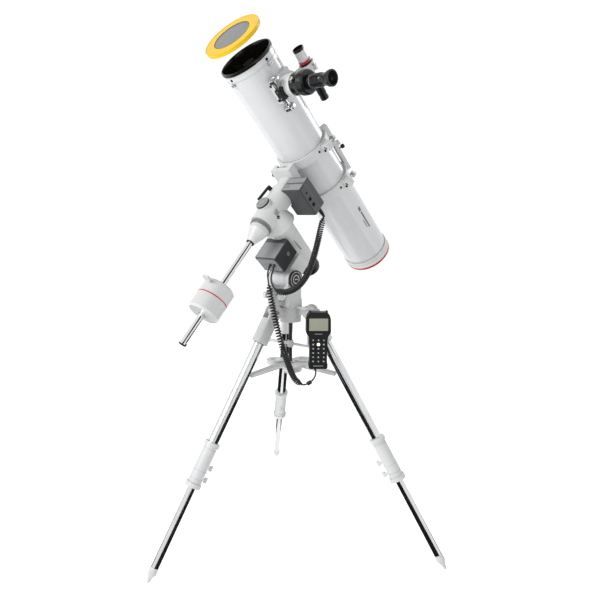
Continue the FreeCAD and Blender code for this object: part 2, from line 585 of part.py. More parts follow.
# ---------------------------------------------------------------- tube rings
def half_band(place, upper):
    """One half of a tube ring, with its clamp lug on the +X side and its hinge knuckle on the -X side."""
    sign = 1 if upper else -1
    band = cylinder("band_radius", "band_width", at(0, 0, place - s.band_width / 2))
    lug = box(s.lug_reach - s.tube_radius, 11.6, "band_width - 6", (s.lug_reach + s.tube_radius) / 2, sign * 6.1,
              place - s.band_width / 2 + 3)
    ear_low = place - s.band_width / 2 if upper else place + 0.2
    ear = box(16, 9, s.band_width / 2 - 0.2, -s.band_radius + 1, sign * 6.5, ear_low)
    knuckle = cylinder(6.5, s.band_width / 2 - 0.2, at(-s.hinge_offset, 0, ear_low))
    bore = cylinder("band_bore", 60, at(0, 0, place - 30))
    half_space = box(400, 200, 60, 0, -sign * 99.7, place - 30)
    pin_hole = cylinder(2.56 if upper else 2.5, 60, at(-s.hinge_offset, 0, place - 30))
    slot = cylinder(5 if not upper else 3, 60, at(100, -30, place, (0, 1, 0)))
    ring = cut(fuse(cut(fuse(band, lug, ear), half_space), knuckle), bore, pin_hole, slot)
    return ring


def tube_rings():
    places = (s.band_front, s.band_rear)
    lowers, pins = [], []
    for place in places:
        foot = box(52, "band_foot - tube_radius", "band_width", 0, -(s.band_foot + s.tube_radius) / 2,
                   place - s.band_width / 2)
        foot = cut(foot, cylinder("band_bore + 3", 60, at(0, 0, place - 30)))
        lowers.append(fuse(half_band(place, False), foot))
        pins.append(cylinder(2.5, "band_width", at(-s.hinge_offset, 0, place - s.band_width / 2)))
    subpart("ring_bottoms", group(*lowers, *pins), TUBE)
    subpart("ring_tops", group(*[half_band(place, True) for place in places]), TUBE)
    slope = s.handle_angle
    start = s.band_rear - 15
    bar = box(12, 22, s.band_front - s.band_rear + 30, s.band_radius + 9, 0, start)
    feet = [box(8, 22, "band_width", s.band_radius + 3, 0, place - s.band_width / 2) for place in places]
    slot = box(40, 8, 70, s.band_radius + 9, 0, (s.band_front + s.band_rear) / 2 - 35)
    spin = FreeCAD.Placement(Vector(), FreeCAD.Rotation(Vector(0, 0, 1), slope))
    handle = cut(fuse(bar, *feet), cylinder("band_radius", 400, at(0, 0, -250)), slot)
    knob = fuse(cylinder(3.8, 20, at(s.band_radius + 4, 0, -30, (1, 0, 0))),
                cylinder(9, 9, at(s.band_radius + 16, 0, -30, (1, 0, 0))))
    subpart("handle_bar", group(handle, knob), TUBE.multiply(spin))
    knobs = []
    for place in places:
        shank = cylinder(2.9, 44, at(100, -12, place, (0, 1, 0)))
        lobes = [cylinder(5, 12, at(100 + 5 * math.cos(k * math.pi / 2), 30, place + 5 * math.sin(k * math.pi / 2),
                                    (0, 1, 0))) for k in range(4)]
        knobs.append(fuse(shank, *lobes))
    subpart("ring_knobs", group(*knobs), TUBE)
    width = s.dovetail_width / 2
    outline = [(-width, 0), (width, 0), (width - 4, s.band_foot_top), (-width + 4, s.band_foot_top)]
    length = s.dovetail_front - s.dovetail_rear
    subpart("dovetail", plate(outline, length, at(0, -s.band_foot - s.band_foot_top, s.dovetail_rear)), TUBE)


# ---------------------------------------------------------------- optical tube
def optical_tube():
    wall = cylinder("tube_radius", "tube_front - tube_rear", at(0, 0, s.tube_rear))
    bore = cylinder("tube_bore", "tube_front - tube_rear + 2", at(0, 0, s.tube_rear - 1))
    port = cylinder("drawtube_radius + 8", 60, FOCUS_IN_TUBE.multiply(at(0, 0, 50)))
    shell = cut(wall, bore, port)
    staves = []
    for k in range(8):
        edges = [(120 * math.cos(turn), 120 * math.sin(turn)) for turn in (k * math.tau / 8, (k + 1) * math.tau / 8)]
        wedge = plate([(0, 0), *edges], s.tube_front - s.tube_rear, at(0, 0, s.tube_rear))
        staves.append(common(shell, wedge))
    subpart("tube", group(*staves), TUBE)
    rim = turned([("rim_bore", "tube_front"), ("rim_radius", "tube_front"), ("rim_radius", "tube_front + rim_length"),
                  ("rim_bore", "tube_front + rim_length")])
    subpart("front_rim", rim, TUBE)
    cell = turned([(0, "cell_rear"), ("cell_radius", "cell_rear"), ("cell_radius", "cell_front"),
                   ("tube_radius", "cell_front"), ("tube_radius", "tube_rear"), ("mirror_radius", "tube_rear"),
                   ("mirror_radius", "mirror_rear"), (0, "mirror_rear")])
    vents = [cylinder(12, 40, at(38 * math.cos(k * math.tau / 6), 38 * math.sin(k * math.tau / 6), s.cell_rear - 5))
             for k in range(6)]
    subpart("rear_cell", cut(cell, *vents), TUBE)


def spider():
    """Four thin vanes with the secondary mirror's holder, and the mirror itself cut at 45 degrees."""
    middle = s.spider_place
    vanes = [box("tube_bore - 4", "vane_thickness", "vane_width", (s.tube_bore + 4) / 2, 0, middle - 11,
                 s.vane_turn + 90 * k)
             for k in range(4)]
    hub = cylinder("secondary_radius", 60, at(0, 0, middle - 45))
    inside = cylinder("tube_bore", 60, at(0, 0, middle - 30))
    bolts = []
    for k in range(4):
        turn = math.radians(s.vane_turn + 90 * k)
        outward = (math.cos(turn), math.sin(turn), 0)
        bolts.append(cylinder(4.5, 8, at(80.2 * outward[0], 80.2 * outward[1], middle, outward)))
    trimmed = [cut(common(vane, inside), hub) for vane in vanes]
    subpart("spider", group(hub, *trimmed, *bolts), TUBE)
    blank = cylinder("secondary_radius", 56, at(0, 0, middle - 101.2))
    slant = box(140, 140, 80, 0, 0, 0)
    slant.Placement = frame((0, 0, s.focuser_place), (0, 1, 0), (-math.sqrt(0.5), 0, -math.sqrt(0.5)),
                            (-math.sqrt(0.5), 0, math.sqrt(0.5)))
    slant.Placement = slant.Placement.multiply(at(-70, -70, -80))
    primary = cylinder("mirror_radius - 0.3", "mirror_thickness", at(0, 0, s.mirror_rear))
    subpart("mirrors", group(primary, cut(blank, slant)), TUBE)


def focuser():
    foot = cut(box(67, 78, 22, 3.3, 0, 66), cylinder("tube_radius", 120, at(-60, 0, 0, (1, 0, 0))))
    body = cylinder("focuser_radius", "focuser_top - 82", at(0, 0, 82))
    collar = turned([(27, 98), ("focuser_radius", 98), ("focuser_radius + 2", 101),
                     ("focuser_radius + 2", "focuser_collar_top"), ("holder_radius_low + 0.3", "focuser_collar_top"),
                     ("holder_radius_low + 0.3", "focuser_top"), (27, "focuser_top")])
    bore = cylinder("drawtube_radius + 0.08", 90, at(0, 0, 50))
    slot = box(9, 14, 70, 0, 25, 62)
    block = box(34, 18, 18, 0, 37, s.pinion_z - 9)
    chamber = fuse(cylinder(7.5, 16, at(-8, s.pinion_y, s.pinion_z, (1, 0, 0))), box(9, 12, 20, 0, 30, s.pinion_z - 10))
    axle = cylinder(3.56, 60, at(-30, s.pinion_y, s.pinion_z, (1, 0, 0)))
    casting = cut(fuse(foot, body, collar), bore, slot, cylinder(8, 20, at(-10, s.pinion_y, s.pinion_z, (1, 0, 0))),
                  box(36, 30, 18.4, 0, 43, s.pinion_z - 9.2))
    housing = cut(block, chamber, axle, cylinder("focuser_radius + 0.1", 60, at(0, 0, 70)))
    subpart("focuser_body", group(casting, housing), FOCUSER)
    shaft = cylinder(3.5, 2 * s.knob_place + 2, at(-s.knob_place - 1, s.pinion_y, s.pinion_z, (1, 0, 0)))
    gear = cylinder(6.2, 12, at(-6, s.pinion_y, s.pinion_z, (1, 0, 0)))
    knobs = [cylinder("knob_radius", "knob_width", at(x, s.pinion_y, s.pinion_z, (1, 0, 0)))
             for x in (s.knob_place, -s.knob_place - s.knob_width)]
    subpart("focus_knobs", fuse(shaft, gear, *knobs), FOCUSER)


def drawtube():
    """The sliding tube with its rack, and the eyepiece holder with two thumbscrews on its outer end."""
    pipe = turned([("drawtube_bore", 62), ("drawtube_radius", 62), ("drawtube_radius", "focuser_top + 0.4"),
                   ("holder_radius_low", "focuser_top + 0.4"), ("holder_radius_low", "holder_step"),
                   ("holder_ring", "holder_step + 3"), ("holder_ring", "holder_top - 4"),
                   ("holder_ring - 4", "holder_top"), ("barrel_radius + 0.06", "holder_top"),
                   ("barrel_radius + 0.06", 142), ("drawtube_bore", 142)])
    rack = box(6, 6.2, 48, 0, 27.1, 62)
    screws = []
    for angle in (35, 215):
        turn = math.radians(angle)
        direction = (math.cos(turn), math.sin(turn), 0)
        start = at(direction[0] * 26, direction[1] * 26, 146, direction)
        screws.append(fuse(cylinder(2.5, 8, start), cylinder(5.5, 9, start.multiply(at(0, 0, 6)))))
    subpart("drawtube", fuse(pipe, rack, *screws), FOCUSER)
    eye = turned([(0, 144), ("barrel_radius", 144), ("barrel_radius", "holder_top + 0.4"),
                  ("eyepiece_radius", "holder_top + 0.4"), ("eyepiece_radius", "eyepiece_end - 32"),
                  ("eyepiece_radius - 1.5", "eyepiece_end - 22"), ("eyecup_radius", "eyepiece_end - 10"),
                  ("eyecup_radius", "eyepiece_end"), ("eyecup_radius - 4", "eyepiece_end"),
                  (9, "eyepiece_end - 14"), (0, "eyepiece_end - 14")])
    subpart("eyepiece", eye, FOCUSER)


def finder():
    turn = math.radians(s.finder_angle)
    axis_x, axis_y = s.finder_reach * math.cos(turn), s.finder_reach * math.sin(turn)
    low = s.bracket_place - s.bracket_width / 2
    ring = cylinder("finder_radius + 7", "bracket_width", at(s.finder_reach, 0, low))
    stem = box(s.finder_reach - s.tube_radius, 16, "bracket_width", (s.finder_reach + s.tube_radius) / 2 - 2, 0, low)
    shoe = box(22, 40, "bracket_width + 24", s.tube_radius + 3, 0, low - 12)
    bore = cylinder("finder_radius - 1.9", 60, at(s.finder_reach, 0, low - 20))
    clear = cylinder("tube_radius", 120, at(0, 0, low - 40))
    spin = FreeCAD.Placement(Vector(), FreeCAD.Rotation(Vector(0, 0, 1), s.finder_angle))
    subpart("finder_bracket", cut(fuse(ring, stem, shoe), bore, clear), TUBE.multiply(spin))
    neck = "finder_radius - 2"
    scope = turned([(0, "finder_rear + 6"), (9, "finder_rear + 6"), (10, "finder_rear"), (13, "finder_rear"),
                    (13, "finder_rear + 40"), (neck, "finder_rear + 52"), (neck, "finder_front - 50"),
                    ("finder_ring", "finder_front - 50"), ("finder_ring", "finder_front - 34"),
                    ("finder_radius", "finder_front - 34"), ("finder_radius", "finder_front"),
                    ("finder_radius - 1.5", "finder_front"), ("finder_radius - 1.5", "finder_front - 12"),
                    (0, "finder_front - 12")], at(axis_x, axis_y, 0))
    subpart("finder_scope", scope, TUBE)


def solar_filter():
    """Front filter cap: yellow ring with its skirt and the film in it, resting lifted off the rim and tipped."""
    seat = s.tube_front + s.rim_length + 0.8
    cap = turned([("filter_film", seat), ("filter_bore", seat), ("filter_bore", seat - 7),
                  ("filter_radius", seat - 7), ("filter_radius", seat + 3), ("filter_film", seat + 3)])
    film = cylinder("filter_film", 0.8, at(0, 0, seat + 1))
    lean = math.radians(s.filter_axis)
    axis = Vector(math.cos(lean), math.sin(lean), 0)
    centre = Vector(0, 0, seat) + axis.cross(Vector(0, 0, 1)) * s.filter_swing
    swing = FreeCAD.Placement(Vector(), FreeCAD.Rotation(axis, s.filter_lift), centre)
    subpart("solar_filter", group(cap, film), TUBE.multiply(swing))


# ---------------------------------------------------------------- cords
def cord_path(points):
    """Straight runs joined by tangent arcs as large as the runs allow, and the smallest arc's radius."""
    corners = [Vector(*point) for point in points]
    edges, radii = [], []
    cursor = corners[0]
    for before, corner, after in zip(corners, corners[1:], corners[2:]):
        back, ahead = (before - corner), (after - corner)
        shorter = min(back.Length, ahead.Length)
        inward, outward = back.normalize(), ahead.normalize()
        turn = math.pi - inward.getAngle(outward)
        radius = 0.45 * shorter / math.tan(turn / 2)
        trim = 0.45 * shorter
        start, end = corner + inward * trim, corner + outward * trim
        bisector = (inward + outward).normalize()
        middle = corner + bisector * (radius / math.cos(turn / 2) - radius)
        edges += [Part.LineSegment(cursor, start).toShape(), Part.Arc(start, middle, end).toShape()]
        radii.append(radius)
        cursor = end
    edges.append(Part.LineSegment(cursor, corners[-1]).toShape())
    return Part.Wire(edges), radii


def cord(label, points, diameter):
    wire, radii = cord_path(points)
    first = Vector(*points[1]) - Vector(*points[0])
    circle = Part.Wire(Part.Circle(Vector(*points[0]), first, diameter / 2).toShape())
    solid = wire.makePipeShell([circle], True, False)
    section = math.pi * diameter ** 2 / 4
    print(label, "length", round(wire.Length, 1), "tightest radius", round(min(radii, default=0), 1),
          "volume ratio", round(solid.Volume / (section * wire.Length), 4))
    piece = doc.addObject("Part::Feature", label)
    piece.Shape = solid
    subpart(label, piece, column)


def sleeve(label, start, end, diameter):
    """A short tube moulded round the lead."""
    direction = Vector(*end) - Vector(*start)
    place = at(*start, direction)
    length = direction.Length
    tube = cut(cylinder(diameter / 2, length, place), cylinder(s.lead_diameter / 2, length + 4,
                                                               place.multiply(at(0, 0, -2))))
    subpart(label, tube, column)


def plug(label, start, end, diameter):
    length = (Vector(*end) - Vector(*start)).Length
    direction = Vector(*end) - Vector(*start)
    subpart(label, cylinder(diameter / 2, length, at(*start, direction)), column)


def in_head(side, up, along_polar):
    """A point of the mount head, given along its three axes, in the tripod's frame."""
    point = HEAD.multVec(Vector(side, up, along_polar)) - column.Base
    return (point.x, point.y, point.z)


HANDSET_LEAD = [in_head(7, -115.6, -104), (-71, -79, 872), (-75, -84, 856), (-73, -88, 841)]
HANDSET_COIL = [(-70, -90, 820), (-66, -91, 790), (-58, -93, 752), (-50, -95, 712), (-38, -98, 664),
                (-24, -102, 618), (-8, -106, 574), (5, -108, 541), (19, -110, 526), (34, -111, 521)]
HANDSET_TAIL = [(34, -111, 521), (44, -111.5, 522), (60, -112, 533), (70, -109, 546), (73, -104, 558),
                (71, -101, 569.5)]
FERRITE = [(46, -111.6, 523.4), (58, -111.9, 531.6)]
DEC_LEAD = [in_head(24, -115.6, -104), (-58, -92, 870), (-64, -101, 853), (-65, -107, 836), (-58, -111, 822)]
DEC_COIL = [(-58, -111, 822), (-46, -113, 808), (-20, -111, 803), (16, -97, 816), (46, -78, 850), (64, -64, 896),
            (77, -52, 940), (86, -44, 980), (93, -38, 1008), (96, -36, 1021)]
DEC_PLUG = [in_head(94, 90, -108.3), in_head(94, 90, -74)]


def build():
    tripod_hub()
    for name, angle in LEG_ANGLES.items():
        place = leg_frame(angle)
        for make in (leg_socket, leg_outer_tube, leg_collar, leg_inner_tube):
            make(name, place)
    for make in (centre_bolt, spreader_tray, azimuth_base, altitude_pivot, handset_bracket, handset, polar_housing,
                 polar_motor, dec_housing, dec_lower_cover, dec_motor, dec_lever, counterweight, saddle, tube_rings,
                 optical_tube, spider, focuser, drawtube, finder, solar_filter):
        make()
    cord("handset_lead", HANDSET_LEAD, s.lead_diameter)
    cord("handset_coil", HANDSET_COIL, s.coil_diameter)
    cord("handset_tail", HANDSET_TAIL, s.lead_diameter)
    sleeve("ferrite", *FERRITE, s.plug_diameter)
    cord("dec_lead", DEC_LEAD, s.lead_diameter)
    cord("dec_coil", DEC_COIL, s.coil_diameter)
    plug("dec_plug", *DEC_PLUG, s.plug_diameter)


def write():
    doc.recompute()
    for thing in doc.Objects:
        if {"Invalid", "Error"} & set(thing.State):
            raise RuntimeError(f"{thing.Label} failed: {thing.State}")
    for piece in SUBPARTS:
        if piece.Shape.isNull() or not piece.Shape.isValid() or not piece.Shape.Solids:
            raise RuntimeError(f"{piece.Label} has no valid solid")
    os.makedirs("parts", exist_ok=True)
    whole = FreeCAD.BoundBox()
    for piece in SUBPARTS:
        piece.Shape.exportStep(f"parts/{piece.Label}.step")
        whole.add(piece.Shape.BoundBox)
    print(len(SUBPARTS), "sub-parts, box", whole)


build()
write()
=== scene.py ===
"""Looks of the reflector telescope on its equatorial mount and tripod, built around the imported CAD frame."""
import math

import bmesh
import bpy
from mathutils import Matrix, Vector


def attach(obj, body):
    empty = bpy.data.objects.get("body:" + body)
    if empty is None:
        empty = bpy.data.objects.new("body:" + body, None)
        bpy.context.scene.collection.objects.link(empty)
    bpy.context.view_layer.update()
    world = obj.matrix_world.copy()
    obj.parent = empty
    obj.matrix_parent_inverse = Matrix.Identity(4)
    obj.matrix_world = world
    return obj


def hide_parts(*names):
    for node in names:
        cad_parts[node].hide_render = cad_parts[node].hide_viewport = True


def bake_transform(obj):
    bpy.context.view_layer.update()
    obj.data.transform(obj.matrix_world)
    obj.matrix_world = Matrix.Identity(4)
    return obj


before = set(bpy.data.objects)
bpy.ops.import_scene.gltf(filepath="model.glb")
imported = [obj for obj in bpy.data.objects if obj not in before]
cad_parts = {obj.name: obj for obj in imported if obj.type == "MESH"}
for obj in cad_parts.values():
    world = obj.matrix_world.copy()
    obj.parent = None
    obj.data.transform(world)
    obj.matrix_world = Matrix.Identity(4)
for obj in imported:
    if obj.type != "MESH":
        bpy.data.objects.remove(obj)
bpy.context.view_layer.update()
MM = 0.001
scene = bpy.context.scene

# ---------------------------------------------------------------- the part's frames, in millimetres
COLUMN_AT = Vector((-16.9, -97.5, 0))
POLE_HEADING, LATITUDE = math.radians(224.3), math.radians(43.5)
PIVOT_FORWARD, PIVOT_HEIGHT = 27, 836
HEAD_ALONG_POLAR, HEAD_ACROSS_POLAR = 188, 102
TUBE_OFFSET, TUBE_FRONT, RIM_LENGTH = 248, 363, 9
FOCUS_PLACE, FOCUS_TURN = 262, math.radians(-5)
RING_PLACES = (35, -115)
LEGS, LEG_TURN, LEG_SPLAY = {"left": 210, "right": 330, "rear": 90}, 3.9, math.radians(30.6)
LEG_PIN_REACH, LEG_LENGTH = 66.3, 850
forward = Vector((math.cos(POLE_HEADING), math.sin(POLE_HEADING), 0))
up = Vector((0, 0, 1))
polar_axis = forward * math.cos(LATITUDE) + up * math.sin(LATITUDE)
dec_axis = forward * -math.sin(LATITUDE) + up * math.cos(LATITUDE)
side_axis = dec_axis.cross(polar_axis)
head_centre = (COLUMN_AT + forward * PIVOT_FORWARD + up * PIVOT_HEIGHT + polar_axis * HEAD_ALONG_POLAR
               + dec_axis * HEAD_ACROSS_POLAR)


def axes(origin, x_axis, y_axis, z_axis):
    """A frame with its origin at a point and the three axes given."""
    matrix = Matrix.Identity(4)
    for i in range(3):
        matrix[i][0], matrix[i][1], matrix[i][2], matrix[i][3] = x_axis[i], y_axis[i], z_axis[i], origin[i]
    return matrix


def at(x=0.0, y=0.0, z=0.0, axis=(0, 0, 1)):
    """A place at a point with the piece's own Z along axis."""
    return Matrix.Translation((x, y, z)) @ Vector(axis).to_track_quat("Z", "Y").to_matrix().to_4x4()


COLUMN = Matrix.Translation(COLUMN_AT)
BASE = axes(COLUMN_AT, forward, side_axis, up)
HEAD = axes(head_centre, side_axis, dec_axis, polar_axis)
TUBE = HEAD @ Matrix.Translation((0, TUBE_OFFSET, 0))
focus = Vector((math.cos(FOCUS_TURN), math.sin(FOCUS_TURN), 0))
FOCUSER = TUBE @ axes((0, 0, FOCUS_PLACE), (0, 0, 1), focus.cross(up), focus)


def leg_frame(angle):
    """Origin where the leg's line meets the ground, Z up the leg and Y outwards."""
    heading = math.radians(angle + LEG_TURN)
    outward = Vector((math.cos(heading), math.sin(heading), 0))
    up_leg = up * math.cos(LEG_SPLAY) - outward * math.sin(LEG_SPLAY)
    pin = up.cross(outward)
    foot = COLUMN_AT + outward * (LEG_PIN_REACH + LEG_LENGTH * math.sin(LEG_SPLAY))
    return axes(foot, pin, up_leg.cross(pin), up_leg)


# ---------------------------------------------------------------- camera
lens = bpy.data.cameras.new("camera")
camera = bpy.data.objects.new("camera", lens)
scene.collection.objects.link(camera)
camera.location = (-0.0990, -1.7509, 1.0369)
camera.rotation_euler = (math.radians(84.1), 0, 0)
lens.lens, lens.sensor_width = 31.36, 36
lens.shift_x, lens.shift_y = 0.0583, -0.0533
lens.clip_start, lens.clip_end = 0.05, 30
scene.camera = camera


# ---------------------------------------------------------------- materials
def mix_nodes(tree, scale, low, high, detail=3.0, stretch=(1, 1, 1), turn=(0, 0, 0)):
    """A noise in the object's own coordinates, spread between low and high."""
    nodes, links = tree.nodes, tree.links
    place = nodes.new("ShaderNodeTexCoord")
    mapping = nodes.new("ShaderNodeMapping")
    mapping.inputs["Scale"].default_value = stretch
    mapping.inputs["Rotation"].default_value = turn
    noise = nodes.new("ShaderNodeTexNoise")
    noise.inputs["Scale"].default_value = scale
    noise.inputs["Detail"].default_value = detail
    spread = nodes.new("ShaderNodeMapRange")
    spread.inputs["From Min"].default_value, spread.inputs["From Max"].default_value = 0.3, 0.7
    spread.inputs["To Min"].default_value, spread.inputs["To Max"].default_value = low, high
    links.new(place.outputs["Object"], mapping.inputs["Vector"])
    links.new(mapping.outputs["Vector"], noise.inputs["Vector"])
    links.new(noise.outputs["Fac"], spread.inputs["Value"])
    return spread.outputs["Result"]


def material(name, light, dark, rough, grain, bump, metallic=0.0, coat=0.0, soften=0.0, stretch=(1, 1, 1),
             turn=(0, 0, 0), tone_scale=14.0, specular=0.5, glow=0.0):
    """light and dark are the colour's two tones, rough the roughness's two values, grain the bump's scale."""
    made = bpy.data.materials.new(name)
    made.use_nodes = True
    tree = made.node_tree
    nodes, links = tree.nodes, tree.links
    shader = nodes["Principled BSDF"]
    shader.inputs["Metallic"].default_value = metallic
    shader.inputs["Coat Weight"].default_value = coat
    shader.inputs["Coat Roughness"].default_value = 0.08
    shader.inputs["Specular IOR Level"].default_value = specular
    tone = nodes.new("ShaderNodeMix")
    tone.data_type = "RGBA"
    tone.inputs[6].default_value, tone.inputs[7].default_value = (*dark, 1), (*light, 1)
    links.new(mix_nodes(tree, tone_scale, 0.0, 1.0, 4.0, stretch, turn), tone.inputs[0])
    links.new(tone.outputs[2], shader.inputs["Base Color"])
    links.new(mix_nodes(tree, grain * 0.4, rough[0], rough[1], 4.0, stretch, turn),
              shader.inputs["Roughness"])
    relief = nodes.new("ShaderNodeBump")
    relief.inputs["Strength"].default_value = bump
    relief.inputs["Distance"].default_value = 0.0004
    links.new(mix_nodes(tree, grain, 0.0, 1.0, 3.0, stretch, turn), relief.inputs["Height"])
    if soften:
        edge = nodes.new("ShaderNodeBevel")
        edge.samples = 4
        edge.inputs["Radius"].default_value = soften
        links.new(edge.outputs["Normal"], relief.inputs["Normal"])
    links.new(relief.outputs["Normal"], shader.inputs["Normal"])
    if glow:
        shader.inputs["Emission Color"].default_value = (*light, 1)
        shader.inputs["Emission Strength"].default_value = glow
    return made


def grey(value, tint=0.0):
    """A near-neutral colour; a positive tint is cooler."""
    return (value * (1 - tint), value, value * (1 + tint))


PAINT = material("white_paint", grey(0.62, 0.016), grey(0.60, 0.020), (0.18, 0.25), 380, 0.06, coat=0.3)
CASTING = material("white_casting", grey(0.62, 0.006), grey(0.57, 0.008), (0.34, 0.46), 900, 0.22, coat=0.1,
                   soften=0.0009)
WHITE_PLASTIC = material("white_plastic", grey(0.64, 0.006), grey(0.60, 0.008), (0.3, 0.4), 1400, 0.1,
                         soften=0.0008)
CHROME = material("chrome", grey(0.72, 0.01), grey(0.66, 0.01), (0.05, 0.12), 700, 0.03, metallic=1.0)
SILVER = material("silver_aluminium", grey(0.66, 0.012), grey(0.58, 0.012), (0.2, 0.32), 1100, 0.08,
                  metallic=1.0, soften=0.0006)
BLACK_PLASTIC = material("black_plastic", grey(0.012, 0.05), grey(0.008, 0.05), (0.34, 0.46), 1600, 0.2,
                         soften=0.0007, specular=0.3)
GLOSS_BLACK = material("gloss_black", grey(0.008, 0.05), grey(0.006, 0.05), (0.14, 0.24), 600, 0.05,
                       specular=0.35)
GREY_PLASTIC = material("grey_plastic", grey(0.062, 0.06), grey(0.052, 0.06), (0.32, 0.42), 1500, 0.2,
                        soften=0.0012, specular=0.4)
# A lighter copy of the motor cases' grey plastic, as painted light on their lit faces.
GREY_PLASTIC_PAINTED_LIGHT = material("grey_plastic_painted_light", grey(0.27, 0.03), grey(0.24, 0.03), (0.3, 0.42), 1500, 0.2,
                      soften=0.0010)
SLATE = material("slate_plastic", grey(0.30, 0.02), grey(0.27, 0.02), (0.4, 0.5), 1300, 0.12)
BLACK_METAL = material("black_metal", grey(0.012, 0.08), grey(0.008, 0.08), (0.14, 0.22), 1200, 0.06,
                       soften=0.0006, specular=0.38)
BLACK_STEEL = material("black_steel", grey(0.045, 0.02), grey(0.028, 0.02), (0.3, 0.45), 900, 0.15,
                       metallic=0.5)
FLAT_BLACK = material("flat_black", grey(0.007), grey(0.005), (0.8, 0.95), 700, 0.3, specular=0.1)
RUBBER = material("rubber", grey(0.018, 0.04), grey(0.012, 0.04), (0.3, 0.42), 1800, 0.15, specular=0.45)
KEY_RUBBER = material("key_rubber", grey(0.030, 0.10), grey(0.024, 0.10), (0.45, 0.6), 1700, 0.15,
                      specular=0.3)
# The mirrors get a near-black metal colour: painted shade of the dark tube interior they show.
MIRROR_PAINTED_SHADE = material("mirror", grey(0.06), grey(0.05), (0.03, 0.06), 200, 0.01, metallic=1.0)
YELLOW = material("yellow_plastic", (0.78, 0.50, 0.006), (0.72, 0.44, 0.005), (0.26, 0.38), 900, 0.1,
                  soften=0.0008, specular=0.2)
AMBER = material("amber_edge", (0.10, 0.05, 0.012), (0.06, 0.03, 0.01), (0.4, 0.55), 900, 0.1)
FILM = material("solar_film", grey(0.155, 0.045), grey(0.135, 0.045), (0.24, 0.34), 45, 0.12, tone_scale=30)
RED = material("red_enamel", (0.52, 0.012, 0.012), (0.44, 0.010, 0.010), (0.2, 0.3), 700, 0.06, coat=0.4)
SCREEN = material("lcd_screen", (0.30, 0.30, 0.235), (0.28, 0.28, 0.22), (0.2, 0.3), 500, 0.02, specular=0.2)
LEGEND = material("white_legend", grey(0.80), grey(0.74), (0.45, 0.55), 1200, 0.05)
LAMP = material("lit_key", (0.95, 0.93, 0.62), (0.9, 0.86, 0.5), (0.4, 0.5), 900, 0.05, glow=1.2)
GLASS = material("lens_glass", grey(0.006, 0.3), grey(0.004, 0.3), (0.1, 0.16), 200, 0.01, specular=0.08)
SHADE = material("seam_shadow", grey(0.16, 0.02), grey(0.12, 0.02), (0.5, 0.6), 900, 0.05)
PALE_SEAM = material("pale_seam", grey(0.42, 0.02), grey(0.38, 0.02), (0.4, 0.5), 900, 0.05)
WEIGHT = material("iron_weight", grey(0.61, 0.004), grey(0.58, 0.004), (0.28, 0.38), 500, 0.12, coat=0.25,
                  soften=0.0012)
STEEL = {}
for leg, angle in {**LEGS, "column": None}.items():
    axis = polar_axis if angle is None else leg_frame(angle).to_3x3().col[2]
    lie = axis.to_track_quat("Z", "Y").inverted().to_euler()
    STEEL[leg] = material(f"steel_{leg}", grey(0.70, 0.012), grey(0.62, 0.012), (0.07, 0.15), 900, 0.05,
                          metallic=1.0, stretch=(1, 1, 0.02), turn=lie, tone_scale=60)


# ---------------------------------------------------------------- making pieces
def finish_piece(name, mesh_data, body, look, replaces=(), sharp=32):
    """Makes a mesh a piece: smooth shading, material, the body it rides on and what it replaces."""
    mesh_data.shade_smooth()
    mesh_data.set_sharp_from_angle(angle=math.radians(sharp))
    mesh_data.materials.append(look)
    piece = bpy.data.objects.new(name, mesh_data)
    scene.collection.objects.link(piece)
    if body:
        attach(piece, body)
    if replaces:
        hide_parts(*replaces)
    return piece


def build(name, parts, place, body, look, replaces=(), bevel=0.0, sharp=32, segments=2):
    """Joins parts, each a bmesh in millimetres, softens their sharp edges and puts them in place."""
    whole = bmesh.new()
    for part in parts:
        if bevel:
            edges = [e for e in part.edges
                     if len(e.link_faces) == 2 and e.calc_face_angle(0) > math.radians(38)]
            bmesh.ops.bevel(part, geom=edges, offset=bevel, segments=segments, affect="EDGES", profile=0.6,
                            clamp_overlap=True)
        scrap = bpy.data.meshes.new("scrap")
        part.to_mesh(scrap)
        part.free()
        whole.from_mesh(scrap)
        bpy.data.meshes.remove(scrap)
    bmesh.ops.recalc_face_normals(whole, faces=whole.faces)
    whole.transform(Matrix.Scale(MM, 4) @ place)
    mesh_data = bpy.data.meshes.new(name)
    whole.to_mesh(mesh_data)
    whole.free()
    return finish_piece(name, mesh_data, body, look, replaces, sharp)


def lathe(profile, place=Matrix.Identity(4), steps=72, lobes=0, lobe_depth=0.0):
    """A closed outline of (radius, height) turned about Z; lobes make it wavy all round."""
    mesh = bmesh.new()
    rings = []
    for radius, height in profile:
        if radius < 1e-6:
            rings.append([mesh.verts.new((0, 0, height))])
            continue
        ring = []
        for i in range(steps):
            angle = math.tau * i / steps
            reach = radius - lobe_depth * (0.5 - 0.5 * math.cos(angle * lobes)) if lobes else radius
            ring.append(mesh.verts.new((reach * math.cos(angle), reach * math.sin(angle), height)))
        rings.append(ring)
    for low, high in zip(rings, rings[1:] + rings[:1]):
        for i in range(steps):
            k = (i + 1) % steps
            corners = [low[i % len(low)], low[k % len(low)], high[k % len(high)], high[i % len(high)]]
            corners = list(dict.fromkeys(corners))
            if len(corners) > 2:
                mesh.faces.new(corners)
    mesh.transform(place)
    return mesh


def slab(outline, low, high, place=Matrix.Identity(4)):
    """A plate with an outline of (x, y) points between two heights."""
    mesh = bmesh.new()
    bottom = [mesh.verts.new((x, y, low)) for x, y in outline]
    top = [mesh.verts.new((x, y, high)) for x, y in outline]
    mesh.faces.new(bottom[::-1])
    mesh.faces.new(top)
    for i in range(len(outline)):
        k = (i + 1) % len(outline)
        mesh.faces.new((bottom[i], bottom[k], top[k], top[i]))
    mesh.transform(place)
    return mesh


def block(x, y, z, length, width, height, place=Matrix.Identity(4)):
    """A box centred on a point."""
    half = [(-length / 2, -width / 2), (length / 2, -width / 2), (length / 2, width / 2),
            (-length / 2, width / 2)]
    return slab([(x + a, y + b) for a, b in half], z - height / 2, z + height / 2, place)


